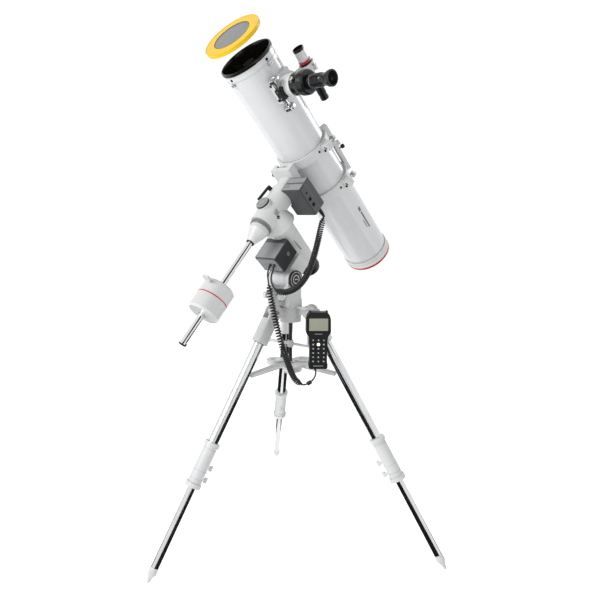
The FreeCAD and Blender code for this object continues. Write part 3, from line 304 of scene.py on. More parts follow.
def band(inner, outer, low, high, place=Matrix.Identity(4), steps=96):
    """A ring between two radii and two heights."""
    return lathe([(inner, low), (outer, low), (outer, high), (inner, high)], place, steps)


def patch(radius, turn_from, turn_to, low, high, thickness, place=Matrix.Identity(4), steps=12):
    """A thin curved plate on a cylinder about Z."""
    mesh = bmesh.new()
    rings = []
    for i in range(steps + 1):
        angle = math.radians(turn_from + (turn_to - turn_from) * i / steps)
        rings.append([mesh.verts.new((r * math.cos(angle), r * math.sin(angle), z))
                      for r, z in ((radius - 0.4, low), (radius + thickness, low), (radius + thickness, high),
                                   (radius - 0.4, high))])
    for one, two in zip(rings, rings[1:]):
        for i in range(4):
            k = (i + 1) % 4
            mesh.faces.new((one[i], two[i], two[k], one[k]))
    mesh.faces.new(rings[0])
    mesh.faces.new(rings[-1][::-1])
    mesh.transform(place)
    return mesh


def screw_head(x, y, z, axis, radius=4.0, height=2.6, socket=1.9):
    """A cap screw with a hexagon socket."""
    place = at(x, y, z, axis)
    return lathe([(socket, height - 1.6), (0, height - 1.6), (0, 0), (radius, 0), (radius, height - 0.5),
                  (radius - 0.5, height), (socket, height)], place, 24)


def paint_node(node, look):
    """Gives a CAD node that stays its material."""
    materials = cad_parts[node].data.materials
    materials.clear()
    materials.append(look)


# ---------------------------------------------------------------- cords
def route_line(points):
    """The smooth line of a cord's route: points of the NURBS spline whose control points are the route's."""
    data = bpy.data.curves.new("route", "CURVE")
    data.dimensions = "3D"
    data.resolution_u = 16
    spline = data.splines.new("NURBS")
    spline.points.add(len(points) - 1)
    for point, position in zip(spline.points, points):
        point.co = (*position, 1)
    spline.order_u = 3
    spline.use_endpoint_u = True
    holder = bpy.data.objects.new("route", data)
    scene.collection.objects.link(holder)
    bpy.context.view_layer.update()
    read = bpy.data.meshes.new_from_object(holder)
    line = [vertex.co.copy() for vertex in read.vertices]
    bpy.data.objects.remove(holder)
    bpy.data.meshes.remove(read)
    return line


def along(line):
    """The distance along a line at each of its points; the last is its whole length."""
    stops = [0.0]
    for a, b in zip(line, line[1:]):
        stops.append(stops[-1] + (b - a).length)
    return stops


def point_on(line, stops, distance):
    """The point at a distance along the line, and the direction there."""
    i = 0
    while i < len(stops) - 2 and stops[i + 1] < distance:
        i += 1
    share = (distance - stops[i]) / max(stops[i + 1] - stops[i], 1e-9)
    return line[i].lerp(line[i + 1], share), (line[i + 1] - line[i]).normalized()


def curl(line, start, end, radius, pitch):
    """A line that runs straight to start, winds round the route to end, and runs straight again.

    pitch(share) is the coil's pitch at that share of the winding.
    """
    stops = along(line)
    side = Vector((1, 0, 0))
    travelled, turn, path = 0.0, 0.0, []
    while travelled < stops[-1]:
        centre, direction = point_on(line, stops, travelled)
        side = (side - direction * side.dot(direction)).normalized()
        share = (travelled - start) / (end - start)
        ramp = max(0.0, min(1.0, (travelled - start) / (2 * radius), (end - travelled) / (2 * radius)))
        reach = radius * ramp
        path.append(centre + (side * math.cos(turn) + direction.cross(side) * math.sin(turn)) * reach)
        if 0 <= share <= 1:
            turn += WIND_STEP
            travelled += pitch(share) * WIND_STEP / math.tau
        else:
            travelled += STRAIGHT_STEP
    path.append(line[-1].copy())
    return path


def tube_mesh(name, path, radius, sides=9):
    """A tube along a line of points, with closed ends."""
    mesh = bmesh.new()
    side = Vector((0.3, 0.8, 0.5))
    rings = []
    for i, point in enumerate(path):
        direction = (path[min(i + 1, len(path) - 1)] - path[max(i - 1, 0)]).normalized()
        side = (side - direction * side.dot(direction)).normalized()
        cross = direction.cross(side)
        rings.append([mesh.verts.new(point + (side * math.cos(math.tau * k / sides)
                                              + cross * math.sin(math.tau * k / sides)) * radius)
                      for k in range(sides)])
    for one, two in zip(rings, rings[1:]):
        for k in range(sides):
            n = (k + 1) % sides
            mesh.faces.new((one[k], one[n], two[n], two[k]))
    mesh.faces.new(rings[0][::-1])
    mesh.faces.new(rings[-1])
    bmesh.ops.recalc_face_normals(mesh, faces=mesh.faces)
    data = bpy.data.meshes.new(name)
    mesh.to_mesh(data)
    mesh.free()
    return data


def in_column(points):
    """Points given from the column's foot in millimetres, in the scene's metres."""
    return [(COLUMN_AT + Vector(point)) * MM for point in points]


def in_head(n, w, u):
    """A point given in the head's frame, from the column's foot."""
    return tuple(HEAD @ Vector((n, w, u)) - COLUMN_AT)


LEAD, WIRE, WIND = 5.0, 4.9, 7.6  # the straight cord's and the coiled wire's diameters, the winding's radius
WIND_STEP, STRAIGHT_STEP = math.tau / 16, 0.0015
TAIL_END, DEC_PLUG_AT = (71, -101, 569.5), (94, 90, -108.3)
HANDSET_ROUTE = in_column([
    in_head(7, -115.6, -104), (-71, -79, 872), (-75, -84, 856), (-73, -88, 841),
    (-70, -90, 820), (-66, -91, 790), (-58, -93, 752), (-50, -95, 712), (-38, -98, 664), (-24, -102, 618),
    (-8, -106, 574), (5, -108, 541), (19, -110, 526), (34, -111, 521)])
TAIL_ROUTE = in_column([(34, -111, 521), (44, -111.5, 522), (60, -112, 533), (70, -109, 546), (73, -104, 558),
                        TAIL_END])
DEC_ROUTE = in_column([
    in_head(24, -115.6, -104), (-58, -92, 870), (-64, -101, 853), (-65, -107, 836), (-58, -111, 822),
    (-46, -113, 808), (-20, -111, 803), (16, -97, 816), (46, -78, 850), (64, -64, 896), (77, -52, 940),
    (86, -44, 980), (93, -38, 1008), (96, -36, 1021), in_head(*DEC_PLUG_AT)])


def loose_then_tight(loose, tight, change):
    """A coil's pitch that goes from loose to tight round the share change."""
    def pitch(share):
        blend = max(0.0, min(1.0, (share - change) / 0.12 + 0.5))
        return (loose + (tight - loose) * blend) * MM
    return pitch


def curly_cord(name, points, lead_in, lead_out, pitch):
    """A coiled cord along a route, straight for its first lead_in and its last lead_out metres."""
    line = route_line(points)
    whole = along(line)[-1]
    path = curl(line, lead_in, whole - lead_out, WIND * MM, pitch)
    data = tube_mesh(name, path, WIRE * MM / 2)
    return finish_piece(name, data, None, RUBBER, sharp=60), path


handset_cord, handset_path = curly_cord("handset_cord", HANDSET_ROUTE, 0.060, 0.002,
                                        loose_then_tight(8.8, 5.2, 0.60))
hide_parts("handset_lead", "handset_coil")
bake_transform(handset_cord)

tail_path = route_line(TAIL_ROUTE)
tail = finish_piece("handset_tail_cord", tube_mesh("handset_tail_cord", tail_path, LEAD * MM / 2, 14), None,
                    RUBBER, sharp=60)
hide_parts("handset_tail")
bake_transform(tail)

dec_cord, dec_path = curly_cord("dec_cord", DEC_ROUTE, 0.078, 0.003, loose_then_tight(5.2, 6.8, 0.84))
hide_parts("dec_lead", "dec_coil")
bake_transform(dec_cord)

ferrite_place = at(*(COLUMN_AT + Vector((46, -111.6, 523.4))), axis=Vector((12, -0.3, 8.2)))
ferrite_length = 14.5
ferrite = build("ferrite_bead", [lathe([(2.6, 0), (5, 0), (6, 1.2), (6, ferrite_length - 1.2),
                                        (5, ferrite_length), (2.6, ferrite_length)], ferrite_place, 28)],
                Matrix.Identity(4), "azimuth", BLACK_PLASTIC, ["ferrite"])
dec_plug_place = HEAD @ at(*DEC_PLUG_AT)
dec_plug = build("dec_plug_body", [lathe([(2.2, -2), (3.2, -2), (4.2, 6), (5.2, 9), (5.2, 9.8), (4.4, 10.2),
                                          (4.4, 11), (5.2, 11.4), (5.9, 13), (5.9, 34.3), (2.2, 34.3)],
                                         dec_plug_place, 28), block(0, 5.2, 24, 5, 1.6, 14, dec_plug_place)],
                 Matrix.Identity(4), "polar", BLACK_PLASTIC, ["dec_plug"], bevel=0.3)

# ---------------------------------------------------------------- looks of the CAD nodes that stay
LOOKS = {"tripod_hub": CASTING, "handset_bracket": WHITE_PLASTIC, "spreader_tray": CASTING,
         "azimuth_base": CASTING, "azimuth_screws": WHITE_PLASTIC, "altitude_pivot": GLOSS_BLACK,
         "polar_housing": CASTING, "polar_end_cap": BLACK_PLASTIC, "polar_motor_box": GREY_PLASTIC,
         "dec_housing": CASTING, "polar_shaft": STEEL["column"], "polar_scope_cap": SLATE,
         "dec_lower_cover": CASTING, "counterweight_bar": CHROME, "dec_motor_box": GREY_PLASTIC,
         "dec_lever": BLACK_PLASTIC, "counterweight": WEIGHT, "counterweight_screw": WHITE_PLASTIC,
         "dec_shaft": STEEL["column"], "saddle": CASTING, "saddle_knob": BLACK_PLASTIC, "dovetail": SILVER,
         "ring_bottoms": CASTING, "ring_tops": CASTING, "ring_knobs": SILVER, "handle_bar": CASTING,
         "tube": PAINT, "front_rim": GLOSS_BLACK, "rear_cell": WHITE_PLASTIC, "mirrors": MIRROR_PAINTED_SHADE,
         "spider": FLAT_BLACK, "focuser_body": CASTING, "finder_bracket": WHITE_PLASTIC,
         "solar_filter": YELLOW}
for node, look in LOOKS.items():
    paint_node(node, look)
for leg in LEGS:
    paint_node(f"leg_{leg}_socket", CASTING)
    paint_node(f"leg_{leg}_collar", WHITE_PLASTIC)
    paint_node(f"leg_{leg}_outer_tube", STEEL[leg])

# ---------------------------------------------------------------- tripod
for leg, angle in LEGS.items():
    place = leg_frame(angle)
    shin = f"shin_{leg}"
    build(f"leg_{leg}_shin_tube", [band(9.6, 11, 44, 440, steps=64)], place, shin, STEEL[leg],
          [f"leg_{leg}_inner_tube"])
    build(f"leg_{leg}_foot", [lathe([(0, 1.0), (1.6, 1.2), (5.0, 8), (5.6, 14), (9.8, 25), (12.4, 27.5),
                                     (12.4, 44), (11.6, 46), (11.05, 46), (11.05, 42), (0, 42)], steps=48)],
          place, shin, WHITE_PLASTIC)
    seams = [band(20.4, 20.75, z, z + 0.8, steps=72) for z in (310, 334, 400)]
    build(f"leg_{leg}_collar_seams", seams, place, f"leg_{leg}", PALE_SEAM)
    bolts = [screw_head(side * 21, 0, LEG_LENGTH, (side, 0, 0), 5.5, 3, 2.4) for side in (-1, 1)]
    build(f"leg_{leg}_pin_heads", bolts, place, f"leg_{leg}", SILVER, bevel=0.3)
    rims = [band(16.02, 17.2, 741.6, 743.2, steps=64)]
    build(f"leg_{leg}_tube_edge", rims, place, f"leg_{leg}", BLACK_PLASTIC)

THREAD_PITCH, THREAD_BOTTOM, THREAD_TOP, HANDLE_HEIGHT = 2.0, 521, 740, 622
thread = [(0, THREAD_BOTTOM - 1), (5.2, THREAD_BOTTOM - 1)]
for i in range(int((THREAD_TOP - THREAD_BOTTOM) / THREAD_PITCH)):
    low = THREAD_BOTTOM + i * THREAD_PITCH
    thread += [(5.35, low), (6.0, low + THREAD_PITCH * 0.5)]
thread += [(5.35, THREAD_TOP + 1), (6, THREAD_TOP + 2), (6, THREAD_TOP + 19), (0, THREAD_TOP + 20)]
build("threaded_rod", [lathe(thread, steps=28)], COLUMN, "centre_bolt", BLACK_STEEL,
      ["centre_bolt"], sharp=70)
handle_turn = math.radians(-36)
handle_place = COLUMN @ Matrix.Translation((0, 0, HANDLE_HEIGHT)) @ Matrix.Rotation(handle_turn, 4, "Z")
arms = []
for side in (-1, 1):
    arms.append(lathe([(3.2, 7), (5.2, 9), (4.3, 16), (4.0, 60), (4.6, 78), (5.2, 80), (6.6, 82), (7.5, 87),
                       (6.9, 92), (5.2, 95.4), (0, 96.5), (0, 7)], at(axis=(side, 0, 0)), 36))
hub = lathe([(6.05, -11), (9, -11), (10, -9.5), (10, 9.5), (9, 11), (6.05, 11)], steps=48)
build("tee_handle", [*arms, hub], handle_place, "centre_bolt", CASTING)

# ---------------------------------------------------------------- hand controller
HAND = axes(COLUMN_AT + Vector((78.5, -85, 571)), (1, 0, 0), (0, 0, 1), (0, -1, 0))
shell = [(-24, 0), (-28, 3), (-28.5, 14), (-26.5, 22), (-26.3, 60), (-27.5, 92), (-29, 99), (-36.6, 110),
         (-37.4, 116), (-36.8, 152), (-34, 163), (-28, 171), (-24, 173.5), (24, 173.5), (28, 171), (34, 163),
         (36.8, 152), (37.4, 116), (36.6, 110), (29, 99), (27.5, 92), (26.3, 60), (26.5, 22), (28.5, 14),
         (28, 3), (24, 0)]
ears = [[(side * 22, 172), (side * 27, 170), (side * 28.5, 175.5), (side * 26, 178), (side * 22.5, 176)]
        for side in (-1, 1)]
ears[0].reverse()
build("handset_shell", [slab(shell, 2, 29.4), *[slab(ear, 9, 25) for ear in ears]], HAND, "handset",
      BLACK_PLASTIC, ["handset_body"], bevel=2.2, segments=3)
build("handset_waist_seam", [block(0, 105, 14, 68, 0.8, 24.5)], HAND, "handset", SHADE)
bezel = [(-32, 112), (32, 112), (33.5, 116), (33.5, 152), (30.5, 160), (24, 165), (-24, 165), (-30.5, 160),
         (-33.5, 152), (-33.5, 116)]
build("handset_bezel", [slab(bezel, 28.6, 30.0)], HAND, "handset", GLOSS_BLACK, bevel=0.7)
build("handset_screen", [slab([(-28.5, 117.5), (28.5, 117.5), (28.5, 155), (-28.5, 155)], 29.0, 30.35)], HAND,
      "handset", SCREEN, bevel=0.3)
frame_sides = [[(-30, 116), (-28.4, 117.4), (-28.4, 155.1), (-30, 156.5)],
               [(28.4, 117.4), (30, 116), (30, 156.5), (28.4, 155.1)],
               [(-30, 116), (30, 116), (28.4, 117.4), (-28.4, 117.4)],
               [(-28.4, 155.1), (28.4, 155.1), (30, 156.5), (-30, 156.5)]]
build("handset_screen_frame", [slab(side, 29.2, 30.6) for side in frame_sides], HAND, "handset",
      BLACK_PLASTIC)
build("handset_badges", [block(0, 107.5, 29.2, 22, 1.6, 0.9), block(0, 9.5, 29.3, 30, 2.0, 0.9)], HAND,
      "handset", SLATE, bevel=0.2)
pad = [(-22.5, 17), (22.5, 17), (23.5, 60), (24, 96), (-24, 96), (-23.5, 60)]
build("handset_keypad", [slab(pad, 28.8, 29.9)], HAND, "handset", BLACK_PLASTIC, bevel=0.5)
FIRST_ROW, ROW_PITCH, COLUMN_PITCH, KEY_HEIGHT, LIT_ROW = 24, 13, 16, 6.8, 4


def key_outline(x, y, length, width):
    """A rounded oblong, as a superellipse."""
    turns = [math.tau * k / 20 for k in range(20)]
    return [(x + length / 2 * math.copysign(abs(math.cos(a)) ** 0.6, math.cos(a)),
             y + width / 2 * math.copysign(abs(math.sin(a)) ** 0.6, math.sin(a))) for a in turns]


keys, legends = [], []
for row in range(6):
    for column in (-COLUMN_PITCH, 0, COLUMN_PITCH):
        if (row, column) == (LIT_ROW, 0):
            continue
        y = FIRST_ROW + row * ROW_PITCH
        keys.append(slab(key_outline(column, y, 10 if row < 4 else 8.5, KEY_HEIGHT), 29.0, 31.4))
        width = 4.0 if (row + column // COLUMN_PITCH) % 2 else 3.0
        legends += [block(column, y + 0.9, 31.5, width, 1.5, 0.4),
                    block(column, y - 1.2, 31.5, width * 0.7, 1.1, 0.4)]
build("handset_key_tops", keys, HAND, "handset", KEY_RUBBER, ["handset_keys"], bevel=0.6)
build("handset_legends", legends, HAND, "handset", LEGEND)
build("handset_lit_key", [lathe([(0, 29), (4.6, 29), (4.6, 31), (3.6, 32), (0, 32.4)],
                                  at(0, FIRST_ROW + LIT_ROW * ROW_PITCH, 0), 32)], HAND,
      "handset", LAMP)
build("handset_boot", [lathe([(0, -1), (2.55, -1), (3.6, -1), (4.4, 6), (5.6, 9), (5.6, 13), (0, 13)],
                             at(*(COLUMN_AT + Vector(TAIL_END)), axis=(0, 0.02, 1)) @ at(0, 0, -4), 28)],
      Matrix.Identity(4), "handset", RUBBER)

# ---------------------------------------------------------------- mount head
build("pivot_cap_rings", [band(22.0, 23.2, 6.0, 6.4, steps=64), band(11.5, 13.6, 6.0, 6.4, steps=48),
                          block(0, 0, 6.2, 12, 2.2, 0.5)],
      BASE @ at(PIVOT_FORWARD, 42, PIVOT_HEIGHT, (0, 1, 0)), "azimuth", LEGEND, bevel=0.15)
build("base_joint_line", [band(36.0, 36.4, 744.6, 745.6)], COLUMN, "azimuth", SHADE)

# The right ascension drive's case: lid and front plate in a lighter grey as painted light on its lit faces,
# dark side cover with a plain emblem, sockets, lead boots and screws.
RA_FRONT = -115
sockets = [block(x, RA_FRONT - 0.2, -108, 10, 1.2, 8, HEAD) for x in (-30, -14)]
build("ra_sockets", sockets, Matrix.Identity(4), "latitude", FLAT_BLACK, bevel=0.3)
build("ra_lid_painted_light", [slab([(-41, -112), (41, -112), (41, -52), (-41, -52)], -77.2, -76.0)], HEAD, "latitude",
      GREY_PLASTIC_PAINTED_LIGHT, bevel=0.6)
build("ra_front_plate_painted_light", [slab([(-40, -132), (40, -132), (40, -80), (-40, -80)], -0.2, 0.9)], HEAD
      @ axes((0, RA_FRONT, 0), (1, 0, 0), (0, 0, 1), (0, -1, 0)), "latitude", GREY_PLASTIC_PAINTED_LIGHT,
      bevel=0.6)
build("ra_side_cover", [slab([(-134, -112), (-79, -112), (-79, -37), (-134, -37)], 43.6, 45.2,
                             axes((0, 0, 0), (0, 0, 1), (0, 1, 0), (-1, 0, 0))
                             @ Matrix.Scale(-1, 4, (0, 0, 1)))], HEAD, "latitude", BLACK_PLASTIC,
      bevel=1.0)
build("ra_emblem", [band(5.0, 6.0, 45.1, 45.5, steps=40), band(2.2, 3.0, 45.1, 45.5, steps=32)], HEAD
      @ Matrix.Translation((0, -66, -108)) @ Matrix.Rotation(math.pi / 2, 4, "Y"), "latitude", SLATE)
boots = [lathe([(2.55, 0), (5.4, 0), (5.4, 1.5), (4.4, 2.5), (3.2, 11), (2.55, 12)],
               HEAD @ at(x, RA_FRONT, -104, (0, -1, 0)), 28) for x in (7, 24)]
build("ra_lead_boots", boots, Matrix.Identity(4), "latitude", RUBBER)
screws = [screw_head(x, RA_FRONT, z, (0, -1, 0), 2.6, 1.2, 1.2) for x in (-39, 39) for z in (-131, -82)]
build("ra_case_screws", screws, HEAD, "latitude", BLACK_STEEL)

# The declination drive's case: the split between its halves, the lid in a lighter grey as painted light on its
# lit top, and three sockets.
right = HEAD @ axes((100, 0, 0), (0, 0, 1), (0, 1, 0), (1, 0, 0))
build("dec_case_split", [block(-22, 92, -0.1, 103.4, 1.1, 0.9, right),
                         block(60, 92, 29.9, 79.4, 1.1, 0.9, HEAD)], Matrix.Identity(4), "polar", SHADE)
build("dec_lid_painted_light", [slab([(23, 65), (97, 65), (97, 89), (23, 89)], 29.8, 31.0),
                  slab([(23, 95), (97, 95), (97, 115), (23, 115)], 29.8, 31.0)], HEAD, "polar", GREY_PLASTIC_PAINTED_LIGHT,
      bevel=0.7)
build("dec_side_cover", [slab([(-72, 64), (28, 64), (28, 89.5), (-72, 89.5)], -0.2, 0.9)], right, "polar",
      GREY_PLASTIC, bevel=0.6)
holes = [slab([(z - 5.5, 71), (z + 5.5, 71), (z + 5.5, 80), (z + 2.5, 82), (z - 2.5, 82), (z - 5.5, 80)], 0.7,
              1.2) for z in (-20, -42)]
holes.append(lathe([(0, 0.7), (3.2, 0.7), (3.2, 1.3), (0, 1.3)], at(4, 77, 0), 24))
build("dec_sockets", holes, right, "polar", FLAT_BLACK, bevel=0.2)
build("dec_case_vents", [block(28 + 5 * i, 78, 31.0, 2, 12, 0.5) for i in range(5)], HEAD, "polar",
      SHADE)

# Castings of the mount head.
ABOUT_DEC = at(axis=(0, 1, 0))
window = [(0, -13), (9.5, 0), (0, 13), (-9.5, 0)]
shaft_side = HEAD @ axes((38.4, -6.5, 8.5), (0, 0.85, -0.5268), (0, 0.5268, 0.85), (1, 0, 0))
build("latitude_window", [slab(window, -1.2, 0.6)], shaft_side, "polar", SLATE, bevel=0.4)
build("dec_grub_screw", [lathe([(0, 0), (5.4, 0), (5.4, 1.2), (4.4, 2.0), (2.6, 2.0), (2.2, 0.8), (0, 0.8)],
                               at(39.2, -11.3, -5.9, (1, -0.1, 0)), 32)], HEAD, "polar", FLAT_BLACK)
build("polar_cap_rim", [band(19.4, 21.4, 40.8, 44.6, steps=64), band(12, 12.8, 47.8, 48.3, steps=48)], HEAD,
      "polar", BLACK_PLASTIC, bevel=0.3)
build("dec_setting_circle", [lathe([(14.6, -64.0), (32.9, -64.0), (33.3, -63.2), (33.3, -51.6), (32.6, -50.5),
                                    (14.6, -50.5)], ABOUT_DEC, 96)], HEAD, "polar", SHADE)
MARKS, MARKS_TOP = 72, -51.7
marks = []
for i in range(MARKS):
    tall = 2.2 if i % 6 else 4.6
    marks.append(block(33.3, 0, MARKS_TOP - tall / 2, 0.35, 0.5, tall,
                       ABOUT_DEC @ Matrix.Rotation(math.tau * i / MARKS, 4, "Z")))
build("dec_circle_marks", marks, HEAD, "polar", LEGEND)
build("housing_slot", [block(0, 0, 0, 44, 3.2, 0.8)], HEAD @ axes((36.6, -12.6, -128), (-0.09, 0, 0.995),
                                                                  (0.3, -0.95, 0.03), (0.945, 0.3, 0.1)),
      "latitude", SHADE, bevel=0.2)
build("bar_collar", [band(9.1, 12.4, -121, -118.2, ABOUT_DEC, 48)], HEAD, "polar", BLACK_METAL,
      bevel=0.4)
build("weight_red_line", [band(46.6, 47.25, -330.6, -327.4)], HEAD @ ABOUT_DEC, "counterweight", RED)

# ---------------------------------------------------------------- optical tube
seams = [band(79.6, 80.45, z, z + 1.0, steps=128) for z in (344, -436)]
build("tube_end_seams", seams, TUBE, "tube", PALE_SEAM)
liner = lathe([(76.6, -446), (78.3, -446), *[(78.3, z) for z in range(224, 304, 4)], (78.3, 362.8),
               (76.6, 362.8), *[(76.6, z) for z in range(300, 220, -4)]], steps=120)
PORT_RADIUS, PORT_Y = 32, -7
port = []
for face in liner.faces:
    middle = face.calc_center_median()
    if middle.x > 0 and math.hypot(middle.y - PORT_Y, middle.z - FOCUS_PLACE) < PORT_RADIUS:
        port.append(face)
bmesh.ops.delete(liner, geom=port, context="FACES")
build("tube_liner", [liner], TUBE, "tube", FLAT_BLACK)
build("rim_lip", [lathe([(76.4, 362.0), (78.45, 362.0), (78.45, 363.1), (82.1, 363.2), (82.4, 364.5),
                         (82.4, 369.5), (81.8, 371.6), (80.2, 372.4), (78.2, 371.8), (77.2, 369)],
                        steps=128)], TUBE, "tube", GLOSS_BLACK, ["front_rim"])
build("cell_red_line", [band(76, 83.2, -474.6, -467.2, steps=128)], TUBE, "tube", RED)
build("cell_groove", [band(81.9, 82.75, -452.4, -451.2, steps=128)], TUBE, "tube", PALE_SEAM)
badge = [patch(80, -4.0, 3.4, -249, -232, 0.25), patch(80, -2.6, 1.8, -326, -253, 0.25),
         patch(80, -8.6, -6.6, -318, -284, 0.25)]
build("tube_badge", badge, TUBE, "tube", SHADE)
spider_nuts, spider_dots = [], []
for k in range(4):
    turned = Matrix.Rotation(math.radians(-8 + 90 * k), 4, "Z")
    spider_nuts.append(lathe([(0, 0), (6.6, 0), (6.8, 1), (6.8, 2.4), (5.2, 3.2), (5.2, 8.4), (4.4, 9.2),
                              (2.2, 9.2), (2.0, 8.4), (0, 8.4)], turned @ at(79.6, 0, 340, (1, 0, 0)), 32))
    spider_dots.append(lathe([(0, 0), (3.9, 0), (3.9, 1.4), (3.0, 2.2), (0, 2.2)],
                             turned @ at(79.7, 0, 353, (1, 0, 0)), 24))
build("spider_nuts", spider_nuts, TUBE, "tube", SILVER)
build("spider_screws", spider_dots, TUBE, "tube", FLAT_BLACK)

# ---------------------------------------------------------------- tube rings
BAND_RADIUS, BAND_SCREW_TURN = 88.6, -0.30
hex_screws = []
for place in RING_PLACES:
    hex_screws.append(screw_head(96, -12.2, place - 8, (0, -1, 0), 3.6, 3.0, 1.8))
    hex_screws.append(screw_head(BAND_RADIUS * math.cos(BAND_SCREW_TURN),
                                 BAND_RADIUS * math.sin(BAND_SCREW_TURN), place, (1, BAND_SCREW_TURN, 0), 3.4,
                                 1.6, 1.6))
build("ring_hex_screws", hex_screws, TUBE, "cradle", FLAT_BLACK)
knobs = []
for place in RING_PLACES:
    stand = at(100, 27, place, (0, 1, 0))
    knobs.append(lathe([(0, 0), (5, 0), (6, 2), (11.4, 3.5), (12.0, 5), (12.0, 12), (11.2, 14), (7, 15.2),
                        (0, 15.4)], stand, 80, 4, 3.4))
    knobs.append(lathe([(0, -40), (2.9, -40), (2.9, 1), (0, 1)], stand, 24))
build("ring_clamp_knobs", knobs, TUBE, "ring_tops", SILVER, ["ring_knobs"])
felt = [band(80.3, 81.6, place - 15.3, place + 15.3, steps=120) for place in RING_PLACES]
build("ring_felts", felt, TUBE, "cradle", SLATE)

bolt_place = at(5, 122, 52, (0, 1, 0))
bolt = lathe([(0, 0), (7, 0), (7.6, 1), (7.6, 5), (6.9, 5.4), (6.9, 8), (7.6, 8.4), (7.6, 20), (6.6, 22),
              (0, 22)], bolt_place, 40)
build("saddle_bolt", [bolt], HEAD, "declination", CHROME)
build("saddle_bolt_lines", [band(7.5, 7.8, low, low + 1.2, bolt_place, 40) for low in (11, 15)], HEAD,
      "declination", FLAT_BLACK)
build("handle_bar_knob", [lathe([(0, -6), (2.2, -6), (2.2, 0), (6.6, 1), (7.2, 3), (7.2, 10), (6.2, 12),
                                 (0, 12.4)], at(60, 89, -45, (0.56, 0.83, 0)), 40)], TUBE, "ring_tops",
      BLACK_PLASTIC)

# ---------------------------------------------------------------- focuser
PINION_Y, PINION_Z = 37, 99
build("focuser_collar", [band(28.9, 31.25, 103, 129.3, steps=96)], FOCUSER, "tube", CASTING,
      bevel=0.5)
build("pinion_cover", [block(0, PINION_Y + 0.4, PINION_Z, 34.6, 18.8, 18.6)], FOCUSER, "tube", BLACK_PLASTIC,
      bevel=1.0)
cover_screws = [screw_head(x, PINION_Y + 10, PINION_Z, (0, 1, 0), 2.4, 1.2, 1.2) for x in (-11, 11)]
build("pinion_screws", cover_screws, FOCUSER, "tube", SILVER)
foot_screws = [screw_head(x, side * 39, 77.5, (0, side, 0), 4.2, 1.8, 1.7) for x in (-19, 29)
               for side in (-1, 1)]
build("focuser_foot_screws", foot_screws, FOCUSER, "tube", FLAT_BLACK)
wheel = [(0, -6.4), (13.5, -6.4), (16.6, -5.2), (17.4, -3.6), (17.4, 3.6), (16.6, 5.4), (14, 6.4), (8, 6.4),
         (7, 4.6), (0, 4.6)]
wheels = [lathe([(3.45, -40), (0, -40), (0, 40), (3.45, 40)], at(0, PINION_Y, PINION_Z, (1, 0, 0)), 28)]
for side in (-1, 1):
    wheels.append(lathe(wheel, at(side * 44.5, PINION_Y, PINION_Z, (side, 0, 0)), 120, 8, 1.3))
    wheels.append(lathe([(3.5, 0), (4.6, 0), (6.4, 8.5), (3.5, 8.5)],
                        at(side * 30, PINION_Y, PINION_Z, (side, 0, 0)), 32))
build("focus_wheels", wheels, FOCUSER, "focus_knobs", SILVER, ["focus_knobs"])
holder = [(22.5, 62), (25, 62), (25, 104.5), (28.4, 104.5), (28.4, 130), (30.6, 130.2), (30.8, 131),
          (30.8, 136), (30.2, 137), (30.2, 150), (30.6, 151.5), (30.6, 155), (33.6, 158), (33.6, 176.5),
          (29.8, 181), (22, 181), (21, 179.5), (15.9, 179.5), (15.9, 142), (22.5, 142)]
ribs = [lathe([(33.4, 0), (34.0, 0.8), (34.0, 2.2), (33.4, 3)], Matrix.Translation((0, 0, z)), 96)
        for z in (158.6, 162.6, 166.6, 170.6)]
build("eyepiece_holder", [lathe(holder, steps=96), *ribs], FOCUSER, "drawtube", BLACK_METAL,
      ["drawtube"])
ridges = [block(30.3 * math.cos(a), 30.3 * math.sin(a), 143, 1.4, 2.2, 12)
          for a in [math.tau * k / 4 + 0.5 for k in range(4)]]
build("holder_ridges", ridges, FOCUSER, "drawtube", BLACK_METAL, bevel=0.4)
thumbs = []
for angle in (35, 215):
    turn = math.radians(angle)
    direction = (math.cos(turn), math.sin(turn), 0)
    stand = at(direction[0] * 28, direction[1] * 28, 146, direction)
    thumbs.append(lathe([(0, -3), (2.4, -3), (2.4, 3), (4.4, 3.4), (6.2, 4.4), (6.4, 5.4), (6.4, 11),
                         (5.6, 12.6), (0, 13.4)], stand, 48, 12, 0.5))
build("holder_thumbscrews", thumbs, FOCUSER, "drawtube", SILVER)
barrel = [(0, 144), (15.8, 144), (15.8, 181.4), (18.2, 181.6), (18.9, 183), (18.9, 188), (18.2, 189),
          (18.2, 199)]
for i in range(9):
    low = 200 + i * 3.0
    barrel += [(18.9, low), (18.9, low + 1.7), (18.0, low + 2.1), (18.0, low + 2.9)]
barrel += [(17.4, 228), (16.8, 240), (18.6, 246), (21.2, 252), (21.9, 256), (21.9, 261), (21.0, 262.3),
           (17.8, 262), (15, 252), (11, 247), (0, 246.5)]
build("eyepiece_barrel", [lathe(barrel, steps=80)], FOCUSER, "eyepiece", BLACK_METAL,
      ["eyepiece"])
build("eye_lens", [lathe([(0, 246.2), (10.6, 246.6), (7, 248.2), (0, 249.2)], steps=48)], FOCUSER, "eyepiece",
      GLASS)
build("eyepiece_line", [band(18.1, 18.35, 192.4, 193.6, steps=72)], FOCUSER, "eyepiece", SLATE)

